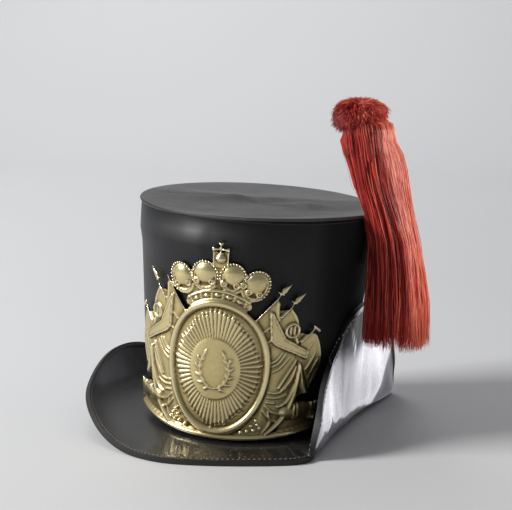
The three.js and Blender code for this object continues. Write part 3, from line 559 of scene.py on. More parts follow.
def brim():
    piece = copy_of_node("brim", "brim_leather", BRIM_LEATHER)
    subdivide_smooth(piece, 3)
    move_vertices(piece, flap_waves)
    polish = []
    dull = []
    cracks = []
    for vertex in piece.data.vertices:
        x, y, z = vertex.co / MM
        front = 0.55 * eased((x + 75) / 50) * eased((-y - 70) / 30)
        flap = eased((x - 52) / 16) * eased((vertex.normal.x + 0.1) / 0.3)
        # The gloss map also sets the lacquer's colour: painted highlight where bright, painted shade where
        # dull.
        gloss = flap_gloss_and_painted_light(y, z)
        polish.append(max(front, flap * gloss))
        dull.append(flap * eased((0.6 - gloss) / 0.55))
        cracks.append(crack_depth(x, y) if z < 8 and vertex.normal.z > 0 else 0.0)
    paint(piece, "polish", polish)
    paint(piece, "dull", dull)
    paint(piece, "crack", cracks)
    part_of_hat(piece, "black_leather", "brim")


# Two vertices of one section of the binding lie nearer to each other than this
SECTION_REACH = 7 * MM


def brim_binding():
    piece = copy_of_node("brim_binding", "brim_edging", BINDING_LEATHER)
    stations = binding_stations(piece)
    subdivide_smooth(piece, 2)
    move_vertices(piece, flap_waves)
    part_of_hat(piece, "dark_leather", "brim_binding")
    stitches(piece, stations)


def binding_stations(piece):
    """Middles of the binding's sections in order round the crown, as the CAD mesh has them."""
    left = [vertex.co.copy() for vertex in piece.data.vertices]
    middles = []
    while left:
        first = left[0]
        section = [spot for spot in left if (spot - first).length < SECTION_REACH]
        left = [spot for spot in left if (spot - first).length >= SECTION_REACH]
        middles.append(sum(section, Vector()) / len(section))
    return sorted(middles, key=lambda spot: math.atan2(spot.x - CROWN_FOOT.x, CROWN_FOOT.y - spot.y))


# Half sizes of one stitch, the step between two, how far in from the binding's middle they lie, and how
# far out they are looked for, in millimetres
STITCH = (1.35, 0.5, 0.5)
STITCH_STEP = 4.0
STITCH_INSET = 1.1
STITCH_SEARCH = 6
BRIM_NEAR = 22


def stitches(binding, stations):
    """Thread along the binding's inner edge, on both of its faces."""
    path = smooth_path([tuple(spot / MM) for spot in stations + stations[:1]], 12)
    lengths = np.concatenate([[0], np.cumsum(np.linalg.norm(np.diff(path, axis=0), axis=1))])
    brim_spots = np.array([tuple(v.co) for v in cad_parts["brim"].data.vertices]) / MM
    surface = tree_of_piece(binding)
    centres = []
    axes = []
    for length in np.arange(0, lengths[-1], STITCH_STEP):
        spot, ahead = (
            np.array([np.interp(at, lengths, path[:, k]) for k in range(3)]) for at in (length, length + 1)
        )
        along = Vector(ahead - spot).normalized()
        near = brim_spots[np.linalg.norm(brim_spots - spot, axis=1) < BRIM_NEAR]
        inward = Vector(near.mean(axis=0) - spot)
        inward = (inward - along * inward.dot(along)).normalized()
        out = along.cross(inward)
        for side in (1, -1):
            start = (Vector(spot) + inward * STITCH_INSET + out * side * STITCH_SEARCH) * MM
            hit = surface.ray_cast(start, -out * side)[0]
            if hit is not None and (hit - start).length < STITCH_SEARCH * MM:
                centres.append(tuple(hit))
                axes.append([tuple(axis) for axis in (along, inward, out)])
    axes = np.array(axes) * np.array(STITCH)[:, None]
    part_of_hat(scatter("binding_stitches", 1, np.array(centres), axes, THREAD), "dark_leather")


def scatter(name, rounds, centres, axes, material):
    """A small ball at many places as one piece. Axes are its three half sizes in millimetres as vectors."""
    deselect_all()
    bpy.ops.mesh.primitive_ico_sphere_add(subdivisions=rounds, radius=MM)
    seed = bpy.context.object
    shape = np.array([tuple(v.co) for v in seed.data.vertices])
    faces = [tuple(p.vertices) for p in seed.data.polygons]
    bpy.data.objects.remove(seed)
    vertices = (np.einsum("vk,skc->svc", shape, axes) + centres[:, None]).reshape(-1, 3)
    all_faces = [tuple(i + k * len(shape) for i in face) for k in range(len(centres)) for face in faces]
    return mesh_piece(name, vertices, all_faces, material)


SEAM_RADIUS = 0.75 * MM


def rim_seam():
    """The dark sewn edge between the crown's side and its tip, from a ring of radius 1 and thickness 0.1."""
    deselect_all()
    bpy.ops.mesh.primitive_torus_add(major_segments=96, minor_segments=8, major_radius=1, minor_radius=0.1)
    piece = named("rim_seam", BINDING_LEATHER)
    half = (BASE_HALF + FLARE + 0.1) * MM
    level = CROWN_HEIGHT - 1.0 * MM
    for vertex in piece.data.vertices:
        turn = math.atan2(vertex.co.x, -vertex.co.y)
        ring = math.hypot(vertex.co.x, vertex.co.y) - 1
        out = ring * 10 * SEAM_RADIUS
        wander = 0.25 * MM * noise(Vector((math.sin(turn), math.cos(turn), 0)) * 9)
        place = (
            (half[0] + out) * math.sin(turn),
            -(half[1] + out) * math.cos(turn),
            level + vertex.co.z * 10 * SEAM_RADIUS + wander,
        )
        vertex.co = to_frame(place)
    bpy.ops.object.shade_smooth()
    part_of_hat(piece, "dark_leather")


# Front plate: a stamped sheet whose relief is painted in millimetres over a flat grid, u along the
# crown's front and v up from its base, and then bent round the crown
PLATE_PITCH = 0.66
PLATE_STANDOFF = 0.45
PLATE_SHEET = 0.9
PLATE_LOW = (-98, -6)
PLATE_HIGH = (98, 157)
# Heights are compared with the relief softened so many times. A gap of so much counts in full.
FINE_HOLLOW = (14, 0.5)
WIDE_HOLLOW = (60, 1.1)
PROUD = (10, 0.7)

OVAL_CENTRE = (-0.8, 54.3)
OVAL_HALF = (42.8, 55.3)
OVAL_FRAME = 4.9
BOSS_CENTRE = (-1.6, 53.6)
BOSS_HALF = (21.2, 26.2)
RAYS = 62


class Relief:
    """Heights over the flat grid. What is painted later lies over what was there before."""

    def __init__(self):
        across = np.arange(PLATE_LOW[0], PLATE_HIGH[0], PLATE_PITCH)
        up = np.arange(PLATE_LOW[1], PLATE_HIGH[1], PLATE_PITCH)
        self.u, self.v = np.meshgrid(across, up)
        self.height = np.zeros_like(self.u)
        self.inside = np.zeros(self.u.shape, bool)

    def raise_to(self, height, where):
        self.height = np.where(where, np.maximum(self.height, height), self.height)
        self.inside |= where

    def from_line(self, start, end):
        du, dv = end[0] - start[0], end[1] - start[1]
        share = ((self.u - start[0]) * du + (self.v - start[1]) * dv) / max(1e-9, du * du + dv * dv)
        share = np.clip(share, 0, 1)
        return np.hypot(self.u - start[0] - share * du, self.v - start[1] - share * dv), share

    def sheet(self, outline, level, edge=1.2):
        """A flat stretch inside an outline, with a rounded edge."""
        inside = np.zeros(self.u.shape, bool)
        nearest = np.full(self.u.shape, 1e9)
        for (u0, v0), (u1, v1) in zip(outline, outline[1:] + outline[:1]):
            crosses = (v0 > self.v) != (v1 > self.v)
            level_run = v1 - v0 if v1 != v0 else 1e-9
            inside ^= crosses & (self.u < (u1 - u0) * (self.v - v0) / level_run + u0)
            nearest = np.minimum(nearest, self.from_line((u0, v0), (u1, v1))[0])
        self.raise_to(level * (0.35 + 0.65 * eased(nearest / edge)), inside)

    def bar(self, path, height, foot=0.0, flat=0.0):
        """A bar along a path of (u, v, width), round or with a flat top."""
        for a, b in zip(path[:-1], path[1:]):
            distance, share = self.from_line(a, b)
            half = (a[2] + (b[2] - a[2]) * share) / 2
            across = distance / half
            shape = np.sqrt(np.clip(1 - (np.clip(across - flat, 0, 1) / (1 - flat)) ** 2, 0, 1))
            self.raise_to(foot + height * shape, across < 1)

    def oval(self, centre, half, tilt=0.0):
        """Distance from an oval's centre: 0 there and 1 on its line, and the angle from its top."""
        turn = math.radians(tilt)
        u, v = self.u - centre[0], self.v - centre[1]
        along = (u * math.cos(turn) + v * math.sin(turn)) / half[0]
        up = (v * math.cos(turn) - u * math.sin(turn)) / half[1]
        return np.hypot(along, up), np.arctan2(along, up)

    def dome(self, centre, half, height, foot=0.0, tilt=0.0, power=0.5):
        share, _ = self.oval(centre, half, tilt)
        self.raise_to(foot + height * np.clip(1 - share**2, 0, 1) ** power, share < 1)

    def ring(self, centre, half, width, height, foot=0.0, tilt=0.0):
        share, _ = self.oval(centre, half, tilt)
        across = (1 - share) * min(half) / width * 2 - 1
        self.raise_to(foot + height * np.sqrt(np.clip(1 - across**2, 0, 1)), np.abs(across) < 1)

    def softened(self, times):
        height = self.height
        for _ in range(times):
            around = np.pad(height, 1, mode="edge")
            beside = around[:-2, 1:-1] + around[2:, 1:-1] + around[1:-1, :-2] + around[1:-1, 2:]
            height = (beside + 4 * height) / 8
        return height


def wider(half, more):
    return (half[0] + more, half[1] + more)


def spot_on_oval(centre, half, degrees):
    angle = math.radians(degrees)
    return (centre[0] + half[0] * math.sin(angle), centre[1] + half[1] * math.cos(angle))


def turned_spot(centre, half, degrees, tilt):
    """A spot on an oval that is itself turned about its centre."""
    du, dv = spot_on_oval((0, 0), half, degrees)
    turn = math.radians(tilt)
    return (
        centre[0] + du * math.cos(turn) - dv * math.sin(turn),
        centre[1] + du * math.sin(turn) + dv * math.cos(turn),
    )


def arc_on_oval(centre, half, start, end, width, steps=24):
    angles = np.linspace(start, end, steps)
    return [(*spot_on_oval(centre, half, angle), width) for angle in angles]


# The trophy beside the oval, as on the wearer's left. Flags and blades are outlines with a level,
# bars are paths of (u, v, width) with a height and the level of their foot.
TROPHY_SHEETS = (
    # ground behind everything
    (0.5, [(22, 92), (43, 113), (46, 104), (54, 106), (64, 86), (74, 84), (84, 74), (87, 60), (80, 38),
           (66, 30), (60, 16), (44, 2), (20, 0), (30, 50)]),
    # first flag
    (1.1, [(24, 91), (43, 114), (46, 109), (45, 102), (47, 98), (50, 86), (38, 70), (34, 78)]),
    # second flag
    (1.0, [(47, 98), (54, 107), (60, 100), (63.5, 91), (65, 80), (58, 74), (46, 80)]),
    # third flag
    (1.1, [(66, 78), (75, 86), (80, 84), (85, 75), (88.5, 64), (88, 55), (85, 47), (79, 37), (76, 44),
           (71, 56), (62, 66)]),
    # cloth beside the oval
    (0.8, [(40, 80), (62, 68), (66, 52), (64, 34), (58, 18), (46, 6), (34, 0), (36, 22), (42, 50)]),
    # belly of the cannon's carriage
    (0.5, [(58, 16), (66, 29), (84, 28), (92, 24), (93, 6), (50, 2)]),
)
BLADE = [(38, 102.5), (40, 101), (51.5, 81), (73, 69.5), (71.5, 64.3), (44.5, 76), (40.5, 80)]
BLADE_HEART = [(40.6, 94), (48.5, 80.5), (44.5, 79.5), (42.6, 82)]
TROPHY_BARS = (
    # poles
    (2.0, 0.8, [(24.5, 92, 2.2), (43.5, 115, 1.9)]),
    (2.0, 0.8, [(46.5, 98.5, 2.2), (54.5, 107.5, 2)]),
    (2.2, 0.8, [(65.5, 78.5, 2.6), (75.5, 87.5, 2.2)]),
    # knob of the third pole
    (2.6, 0.8, [(75.3, 90.5, 3.4), (81, 86.5, 4.6)]),
    # folds of the flags
    (0.9, 1.0, [(31.5, 84.5, 1.6), (39.5, 91, 2)]),
    (0.9, 1.0, [(35.5, 77.5, 1.6), (41, 79.8, 2)]),
    (0.8, 1.0, [(43, 110, 2), (43.5, 101, 3), (45, 96, 2)]),
    (0.8, 1.0, [(55, 104, 2), (60, 96, 2.5), (63, 88, 2)]),
    (0.8, 1.0, [(84.5, 62, 1.6), (80.5, 55, 2.4), (77, 48, 1.8)]),
    (0.8, 1.0, [(86, 55, 1.4), (83, 50, 2.2), (80, 43, 1.6)]),
    (0.8, 1.0, [(81, 68, 1.4), (77, 60, 2.4), (73.5, 55, 1.6)]),
    (0.7, 1.0, [(77, 76, 1.4), (72, 70, 2.2)]),
    (0.6, 1.0, [(80, 83, 1.4), (84.5, 74.5, 1.8), (87.6, 64, 1.8), (87.2, 55, 1.6), (84, 46, 1.4)]),
    # pleats of the cloth
    (1.1, 0.8, [(41.5, 61, 1.8), (46, 63.5, 2.2), (50.5, 69.5, 1.8)]),
    (1.1, 0.8, [(43, 58.5, 1.8), (48, 61, 2.2), (53.5, 69, 1.8)]),
    (0.9, 0.8, [(44, 54, 1.8), (50, 57.5, 2.4), (57, 66, 1.8)]),
    (1.5, 0.9, [(63, 63.5, 1.8), (58, 54.5, 3), (52.5, 45, 3.4), (50, 40.5, 2)]),
    (1.1, 0.8, [(64, 58, 1.5), (61, 48, 4), (56, 41, 4.5), (53, 39, 2)]),
    (0.9, 0.8, [(41.5, 37, 1.5), (50, 36.5, 2.4), (58, 40, 1.8)]),
    (0.9, 0.8, [(41.5, 33, 1.5), (50, 32.5, 2.2), (58, 35, 1.8)]),
    (0.8, 0.8, [(41, 29, 1.5), (48, 28, 2.2)]),
    (1.7, 0.9, [(64.5, 44, 2), (61.5, 34, 4), (57, 28, 3.4), (51, 25.2, 1.6)]),
    (1.0, 0.8, [(40, 26, 1.4), (47, 20.5, 2.6), (57, 18.5, 1.6)]),
    (1.0, 0.8, [(38.5, 22, 1.4), (45, 15, 2.6), (53, 12.5, 1.6)]),
    (1.2, 0.8, [(43, 21, 1.2), (45.5, 12, 2.6), (39, 2.5, 1.4)]),
    # outer edge of the drape
    (2.4, 0.9, [(66.5, 58, 2.6), (66.3, 46, 4.4), (64, 32, 5.2), (59, 19.5, 5.4), (51.5, 10, 4.6),
                (42, 2.5, 2.6)]),
    # tassel
    (2.7, 0.9, [(66.2, 60, 2), (69.5, 50, 4.2), (73, 41, 5.8), (75.2, 36.5, 5.4)]),
)
# Spearheads from (u, v) to (u, v), and their width
SPEARHEADS = ((43.6, 116.2, 53.2, 126.2, 6.0), (54.8, 109, 65.4, 118.8, 6.2))


def mirrored(point):
    """The same place on the wearer's right, where the arms stand a little higher."""
    u, v = point[0], point[1]
    return (2 * OVAL_CENTRE[0] - u, v + 0.14 * max(0, v - 68), *point[2:])


def paint_trophy(relief, mirror):
    def placed(path):
        return [mirrored(point) if mirror else point for point in path]

    def bar(path, *heights):
        relief.bar(placed(path), *heights)

    for level, outline in TROPHY_SHEETS:
        relief.sheet(placed(outline), level)
    for height, foot, path in TROPHY_BARS:
        path = placed(path)
        relief.bar(smooth_path(path) if len(path) > 2 else path, height, foot)
    for u0, v0, u1, v1, width in SPEARHEADS[1 if mirror else 0:]:
        middle = (u0 + 0.35 * (u1 - u0), v0 + 0.35 * (v1 - v0), width)
        bar([(u0, v0, 1.8), middle, (u1, v1, 0.5)], 1.6, 0.8)
        bar([(u0, v0, 0.8), (u1, v1, 0.5)], 1.0, 2.0)
        bar([(u0 - 1.6, v0 + 2.6, 1.8), (u0 + 3.4, v0 - 0.4, 1.8)], 1.8, 0.8)
    relief.sheet(placed(BLADE), 2.7, 1.6)
    relief.sheet(placed(BLADE_HEART), 2.0, 0.8)
    for a, b in zip(BLADE, BLADE[1:] + BLADE[:1]):
        bar([(*a, 1.1), (*b, 1.1)], 0.9, 2.2)
    # ring with two upright bars, and its foot
    u, v = placed([(57, 87.5)])[0]
    relief.ring((u, v), (6.4, 6.4), 2.0, 2.0, 0.9)
    for shift in (-1.6, 1.8):
        relief.bar([(u + shift, v - 4.5, 1.7), (u + shift, v + 4.5, 1.7)], 1.2, 0.9)
    bar([(60.5, 81.5, 2.4), (62.5, 77.5, 2.4)], 1.6, 0.9)
    # cannon with its bands and muzzle
    bar([(58, 20, 11), (82, 21.5, 12.5)], 3.2, 0.4)
    for u, width, tall in ((65.5, 1.6, 14), (69, 1.0, 13.4), (82.5, 2.0, 15.5), (86.5, 2.2, 17)):
        bar([(u, 20.9 - tall / 2 + 1, width), (u, 20.9 + tall / 2 - 1, width)], 3.7, 0.4, 0.4)
    bar([(83, 21.5, 12), (88, 21.7, 14)], 3.3, 0.4, 0.3)


def paint_oval(relief):
    share, angle = relief.oval(OVAL_CENTRE, OVAL_HALF)
    relief.raise_to(0.7, share < 1)
    # rays: rounded ridges of uneven length, shorter towards the corners
    field, _ = relief.oval(OVAL_CENTRE, wider(OVAL_HALF, -OVAL_FRAME))
    turn = angle / (2 * math.pi) * RAYS
    which = np.floor(turn)
    across = 2 * (turn - which) - 1
    uneven = 0.5 + 0.5 * np.sin(which * 2.4) * np.cos(which * 1.1)
    corner = np.abs(np.sin(2 * (which + 0.5) * 2 * math.pi / RAYS)) ** 1.6
    end = 0.95 - 0.08 * corner - 0.06 * uneven
    tip = eased((end - 0.03 * across**2 - field) / 0.02)
    ridge = np.clip(1 - across**2, 0, 1) ** 0.8
    relief.raise_to(0.7 + tip * (0.2 + 1.35 * ridge), field < 1)
    # a small bead at the end of each ray
    bead = ((field - end - 0.012) / 0.022) ** 2 + (across / 0.6) ** 2
    relief.raise_to(0.8 + 0.9 * np.sqrt(np.clip(1 - bead, 0, 1)), (bead < 1) & (field < 1))
    # the rounded frame with a finer line on each side
    relief.ring(OVAL_CENTRE, OVAL_HALF, OVAL_FRAME, 2.9, 0.6)
    relief.ring(OVAL_CENTRE, wider(OVAL_HALF, 0.6 - OVAL_FRAME), 1.2, 0.8, 0.7)
    # the raised boss
    share, _ = relief.oval(BOSS_CENTRE, BOSS_HALF)
    relief.raise_to(0.8 + 1.5 * eased((1 - share) / 0.07) + 1.1 * np.clip(1 - share**2, 0, 1), share < 1)
    paint_laurel(relief)


LAUREL_LEAVES = 6
LAUREL_FOOT = 3.2
LAUREL_HALF = (11.5, 15.5)


def paint_laurel(relief):
    """Two leafy sprays that cross at the foot and curve up the boss."""
    for side in (-1, 1):
        stem = []
        for i in range(LAUREL_LEAVES + 1):
            degrees = 184 - 138 * i / LAUREL_LEAVES
            u, v = spot_on_oval((0, 0), LAUREL_HALF, degrees)
            stem.append((BOSS_CENTRE[0] + side * u, BOSS_CENTRE[1] + v, 1.1))
        relief.bar(smooth_path(stem), 0.7, LAUREL_FOOT)
        for i in range(1, LAUREL_LEAVES + 1):
            run = np.array(stem[i][:2]) - np.array(stem[i - 1][:2])
            heading = math.atan2(run[1], run[0])
            for spread in ((0,) if i == LAUREL_LEAVES else (-38, 38)):
                lean = heading + math.radians(spread)
                reach = np.array([math.cos(lean), math.sin(lean)])
                foot = np.array(stem[i][:2])
                leaf = [(*(foot + reach * r), w) for r, w in ((0.4, 0.6), (2.4, 2.3), (5.4, 0.4))]
                relief.bar(smooth_path(leaf, 4), 0.75, LAUREL_FOOT)


# Lobes of the heraldic crown: centre, half sizes and tilt
LOBES = (
    (-31.0, 122.3, 10.8, 13.2, 24),
    (-11.8, 127.0, 11.3, 12.6, 0),
    (9.3, 127.2, 10.5, 12.5, 0),
    (25.8, 122.3, 10.8, 13.4, -24),
)
SCROLLS = (
    (-34.5, 117.5), (-25, 119), (-18, 122.4), (-6, 122.8), (2.5, 122.4), (12, 121.6), (16.8, 122.6),
    (20.8, 117.6), (28.5, 116),
)
# Pearls round the lobes: their radius, the step between two, and how far from the lobe's edge they lie
PEARL_RADIUS = 0.98
PEARL_STEP = 2.75
PEARL_INSET = -1.2
# Cannon balls: place (u, v) and radius
BALLS = (
    (22, 4, 1.9), (27, 5.2, 1.9), (32.2, 6, 1.9), (37, 8, 1.9), (30, 9.6, 1.8), (35, 10.6, 1.8),
    (33.8, 14.2, 1.8), (-26, 4.4, 1.9), (-32, 6, 1.9), (-37, 6.2, 1.9), (-41, 7.4, 1.9), (-33.5, 11, 1.8),
    (-38.8, 11.4, 1.8), (-36, 15, 1.8),
)
# The crown's jewelled band: half sizes of the oval it runs on, its width, and its ends in degrees
BAND_HALF = (44.9, 58.6)
BAND_WIDTH = 7.4
BAND_START = -31
BAND_END = 29

# The backing of the orb ends here. Above it stands the cross: four arms that widen outwards.
BACKING_TOP = 147.6
CROSS_ARMS = (
    [(-0.9, 149.2), (-1.5, 152), (-3.8, 154.6), (-1.8, 155.3), (0, 155.5), (1.8, 155.3), (3.4, 154.6),
     (1.1, 152), (0.5, 149.2)],
    [(-0.2, 150.2), (-4, 151), (-6.9, 152.4), (-7.2, 149.2), (-6.9, 146), (-4, 147.6), (-0.2, 148.2)],
    [(-0.2, 150.2), (3.6, 151), (6.5, 152.4), (6.8, 149.2), (6.5, 146), (3.6, 147.6), (-0.2, 148.2)],
    [(-0.9, 149.2), (-1.4, 147), (-2.6, 145.2), (2.2, 145.2), (1, 147), (0.5, 149.2)],
)


def paint_heraldic_crown(relief):
    centre = OVAL_CENTRE
    turns = np.linspace(BAND_START, BAND_END, 14)
    ground = [spot_on_oval(centre, wider(OVAL_HALF, -1), a) for a in turns[::-1]]
    ground += [(-31, 117), (-31, 128), (-12, 134), (9, 134), (25, 129), (27, 114)]
    relief.sheet(ground, 0.7)
    relief.bar(arc_on_oval(centre, BAND_HALF, BAND_START, BAND_END, BAND_WIDTH), 0.6, 0.5, 0.75)
    for offset in (-0.43 * BAND_WIDTH, 0.45 * BAND_WIDTH):
        relief.bar(arc_on_oval(centre, wider(BAND_HALF, offset), BAND_START, BAND_END, 1.8), 1.5, 1.1)
    for i, angle in enumerate(np.linspace(BAND_START + 3, BAND_END - 3, 11)):
        spot = spot_on_oval(centre, BAND_HALF, angle)
        if i % 2:
            relief.dome(spot, (2.3, 1.5), 1.6, 1.0, -angle, 0.8)
        else:
            for offset in (-1.2, 1.2):
                relief.dome(spot_on_oval(centre, wider(BAND_HALF, offset), angle), (0.9, 0.9), 1.2, 1.0)
    for u, v, across, up, tilt in LOBES:
        half = (across, up)
        relief.dome((u, v), half, 0.3, 0.5, tilt, 0.12)
        lower = [turned_spot((u, v), wider(half, PEARL_INSET), a, tilt) for a in np.linspace(128, 264, 18)]
        relief.bar([(*spot, 2.2) for spot in lower], 1.2, 0.7)
        relief.ring((u, v), wider(half, -2.5), 1.1, 1.4, 0.8, tilt)
        relief.dome((u, v + 2.0), (across - 3.4, up - 5.0), 2.6, 1.1, tilt, 0.6)
    for spot in SCROLLS:
        relief.ring(spot, (2.5, 2.5), 1.3, 1.5, 1.8)
        relief.dome(spot, (0.9, 0.9), 1.3, 1.6)
    # backing, orb and cross
    relief.sheet([(-6.6, 134), (6.2, 134), (6.2, 148.6), (-6.6, 148.6)], 1.2)
    for u in (-5.7, 5.3):
        relief.bar([(u, 136, 1.5), (u, 148, 1.5)], 1.2, 1.0)
    relief.dome((-0.2, 142), (3.7, 3.7), 3.0, 1.0)
    relief.bar([(-3.4, 142, 1.0), (3, 142, 1.0)], 1.0, 3.3)
    cut = relief.v > BACKING_TOP
    relief.height[cut] = 0
    relief.inside &= ~cut
    for arm in CROSS_ARMS:
        relief.sheet(arm, 3.6, 1.3)


def paint_moulding(relief):
    """The ground behind the cannon balls and the half-round moulding along the crown's base."""
    relief.sheet([(-46, 16), (-24, -2), (22, -2), (46, 16), (38, 26), (-40, 26)], 0.4)
    path = []
    for share in np.linspace(-1, 1, 33):
        path.append((93.5 * share, -1.4 + 8.2 * share * share, 5.2))
    relief.bar(path, 3.6, 0.2)
    upper = [(u, v + 3.2, 1.4) for u, v, _ in path]
    relief.bar(upper, 0.9, 0.6)


# The level at which lengths along the plate are true
BEND_LEVEL = 76.5


def turn_table():
    """Turns about the crown, and the lengths along its front at which they are reached."""
    turns = np.linspace(-1.6, 1.6, 1601)
    half = BASE_HALF + FLARE * BEND_LEVEL / (CROWN_HEIGHT / MM) + PLATE_STANDOFF
    speed = np.hypot(half[0] * np.cos(turns), half[1] * np.sin(turns))
    lengths = np.concatenate([[0], np.cumsum((speed[1:] + speed[:-1]) / 2 * np.diff(turns))])
    return turns, lengths - np.interp(0, turns, lengths)


TURNS, TURN_LENGTHS = turn_table()


def bent(u, v, out):
    """Places on the crown's side, in the object's frame, of flat places in millimetres."""
    turn = np.interp(u, TURN_LENGTHS, TURNS)

    def side(turn, v):
        half = BASE_HALF[:, None] + FLARE[:, None] * v / (CROWN_HEIGHT / MM) + PLATE_STANDOFF
        return np.stack([half[0] * np.sin(turn), -half[1] * np.cos(turn), v + 0 * turn])

    foot = side(turn, v)
    normal = np.cross(side(turn + 1e-3, v) - foot, side(turn, v + 1) - foot, axis=0)
    normal /= np.linalg.norm(normal, axis=0)
    x, y, z = foot + normal * out
    cos, sin = math.cos(CROWN_LEAN), math.sin(CROWN_LEAN)
    return np.stack([x * cos + z * sin, y, z * cos - x * sin], axis=1) * MM + np.array(CROWN_FOOT)


def below(relief, height, times, full):
    """How far a height lies below the softened relief, as a share of the full gap."""
    return (relief.softened(times) - height) / full


def drop_vertices(piece, unwanted):
    """Deletes vertices and smooths the outline that is left."""
    make_active(piece)
    bpy.ops.object.mode_set(mode="EDIT")
    bpy.ops.mesh.select_mode(type="VERT")
    bpy.ops.mesh.select_all(action="DESELECT")
    bpy.ops.object.mode_set(mode="OBJECT")
    piece.data.vertices.foreach_set("select", unwanted)
    bpy.ops.object.mode_set(mode="EDIT")
    bpy.ops.mesh.delete(type="VERT")
    bpy.ops.mesh.select_all(action="SELECT")
    bpy.ops.mesh.region_to_loop()
    bpy.ops.mesh.vertices_smooth(factor=0.5, repeat=4)
    bpy.ops.object.mode_set(mode="OBJECT")
    bpy.ops.object.shade_smooth()


def front_plate():
    relief = Relief()
    paint_moulding(relief)
    paint_trophy(relief, False)
    paint_trophy(relief, True)
    paint_oval(relief)
    paint_heraldic_crown(relief)
    height = relief.softened(1)
    hollow = np.maximum(below(relief, height, *FINE_HOLLOW), below(relief, height, *WIDE_HOLLOW))
    proud = -below(relief, height, *PROUD)

    rows, columns = relief.u.shape
    bpy.ops.mesh.primitive_grid_add(x_subdivisions=columns - 1, y_subdivisions=rows - 1, size=1)
    piece = named("plate_relief", OLD_BRASS)
    mesh = piece.data
    spots = np.array([tuple(v.co) for v in mesh.vertices])
    order = np.lexsort((spots[:, 0], spots[:, 1].round(6)))

    def in_mesh_order(values):
        sorted_values = np.zeros_like(values)
        sorted_values[order] = values
        return sorted_values

    places = bent(relief.u.ravel(), relief.v.ravel(), PLATE_SHEET + height.ravel())
    mesh.vertices.foreach_set("co", in_mesh_order(places).ravel())
    paint(piece, "hollow", in_mesh_order(np.clip(hollow, 0, 1).ravel()))
    paint(piece, "proud", in_mesh_order(np.clip(proud, 0, 1).ravel()))
    drop_vertices(piece, in_mesh_order(~relief.inside.ravel()))
    apply_modifier(piece, "SOLIDIFY", thickness=PLATE_SHEET * 0.9 * MM, offset=-1)
    part_of_hat(piece, "brass", "front_plate")
    beads()


def beads():
    """Pearls round the crown's lobes, and the piles of cannon balls."""
    spots = list(BALLS)
    for index, (u, v, across, up, tilt) in enumerate(LOBES):
        side = -1 if index < 2 else 1
        for degrees in np.arange(-96, 128, math.degrees(PEARL_STEP / ((across + up) / 2))):
            spot = turned_spot((u, v), wider((across, up), PEARL_INSET), side * degrees, tilt)
            spots.append((*spot, PEARL_RADIUS))
    u, v, radius = np.array(spots).T
    centres = bent(u, v, PLATE_SHEET + 1.0 + 0.45 * radius)
    piece = scatter("plate_beads", 2, centres, np.eye(3) * radius[:, None, None], OLD_BRASS)
    paint(piece, "proud", np.full(len(piece.data.vertices), 1.0))
    part_of_hat(piece, "brass")


# Plume

HAIR_STRANDS = 2900
HAIR_LOCKS = 80
# How far down the fall the points of a strand lie, as shares. From HAIR_SQUARE down it keeps its width.
HAIR_DROPS = (0.0, 0.05, 0.11, 0.18, 0.27, 0.38, 0.51, 0.65, 0.8, 1.0)
HAIR_SQUARE = 0.84
# Half the height of the slices of the fall in which its middle is looked for
HAIR_SLICE = 14 * MM
TUFT_STRANDS = 5600
TUFT_POINTS = 4
STRAY_HAIRS = 60
# The side of the plume away from the crown, as a level direction
PLUME_OUTER = Vector((0.968, 0.25, 0))


def strands_piece(name, paths, radii, shades):
    """Three-sided strands that taper to a point. paths is strands x points x 3, shades one number each."""
    count, points, _ = paths.shape
    along = np.gradient(paths, axis=1)
    along /= np.linalg.norm(along, axis=2, keepdims=True) + 1e-12
    side = np.cross(along, np.array([0.3, 0.9, 0.1]))
    side /= np.linalg.norm(side, axis=2, keepdims=True) + 1e-12
    other = np.cross(along, side)
    rings = []
    for k in range(3):
        angle = 2 * math.pi * k / 3
        offset = (math.cos(angle) * side + math.sin(angle) * other) * radii[:, :, None]
        rings.append(paths + offset)
    vertices = np.stack(rings, axis=2).reshape(-1, 3)
    first = np.arange(count) * points * 3
    ring = first[:, None, None] + (np.arange(points - 1) * 3)[None, :, None]
    k = np.arange(3)[None, None, :]
    after = (k + 1) % 3
    quads = np.stack([ring + k, ring + after, ring + 3 + after, ring + 3 + k], axis=3)
    faces = [tuple(face) for face in quads.reshape(-1, 4).tolist()]
    faces += [(a + 2, a + 1, a) for a in first.tolist()]
    last = (first + points * 3 - 3).tolist()
    faces += [(a, a + 1, a + 2) for a in last]
    piece = mesh_piece(name, vertices, faces, RED_HAIR)
    paint(piece, "shade", np.repeat(shades, points * 3))
    part_of_hat(piece, "red_hair")


def hair_core(node, name, levels):
    """The close-packed inside of the hair, still at the full size of the CAD node."""
    piece = copy_of_node(node, name, RED_HAIR)
    bpy.ops.object.mode_set(mode="EDIT")
    bpy.ops.mesh.select_all(action="SELECT")
    bpy.ops.transform.edge_crease(value=-1)
    bpy.ops.object.mode_set(mode="OBJECT")
    subdivide_smooth(piece, levels)
    # Painted shade: the core is coloured dark, as the inside of the plume lies in shade.
    paint(piece, "shade", np.full(len(piece.data.vertices), 0.1))
    part_of_hat(piece, "red_hair", node)
    return piece


def reach_to(shell, centre, out, otherwise):
    """How far a closed surface lies from a point inside it."""
    hit = shell.ray_cast(centre + out * 0.1, -out)[0]
    return (hit - centre).length if hit is not None else otherwise


def level_direction(turn):
    return Vector((math.cos(turn), math.sin(turn), 0))


def shrink_core(piece, inset, lift):
    """Draws the core in under the strands, and its lower end up."""
    heights = [vertex.co.z for vertex in piece.data.vertices]
    low, high = min(heights), max(heights)

    def shift(place, normal):
        share = 1 - (place.z - low) / (high - low)
        return normal * -inset + Vector((0, 0, lift * share**4))

    move_vertices(piece, shift)


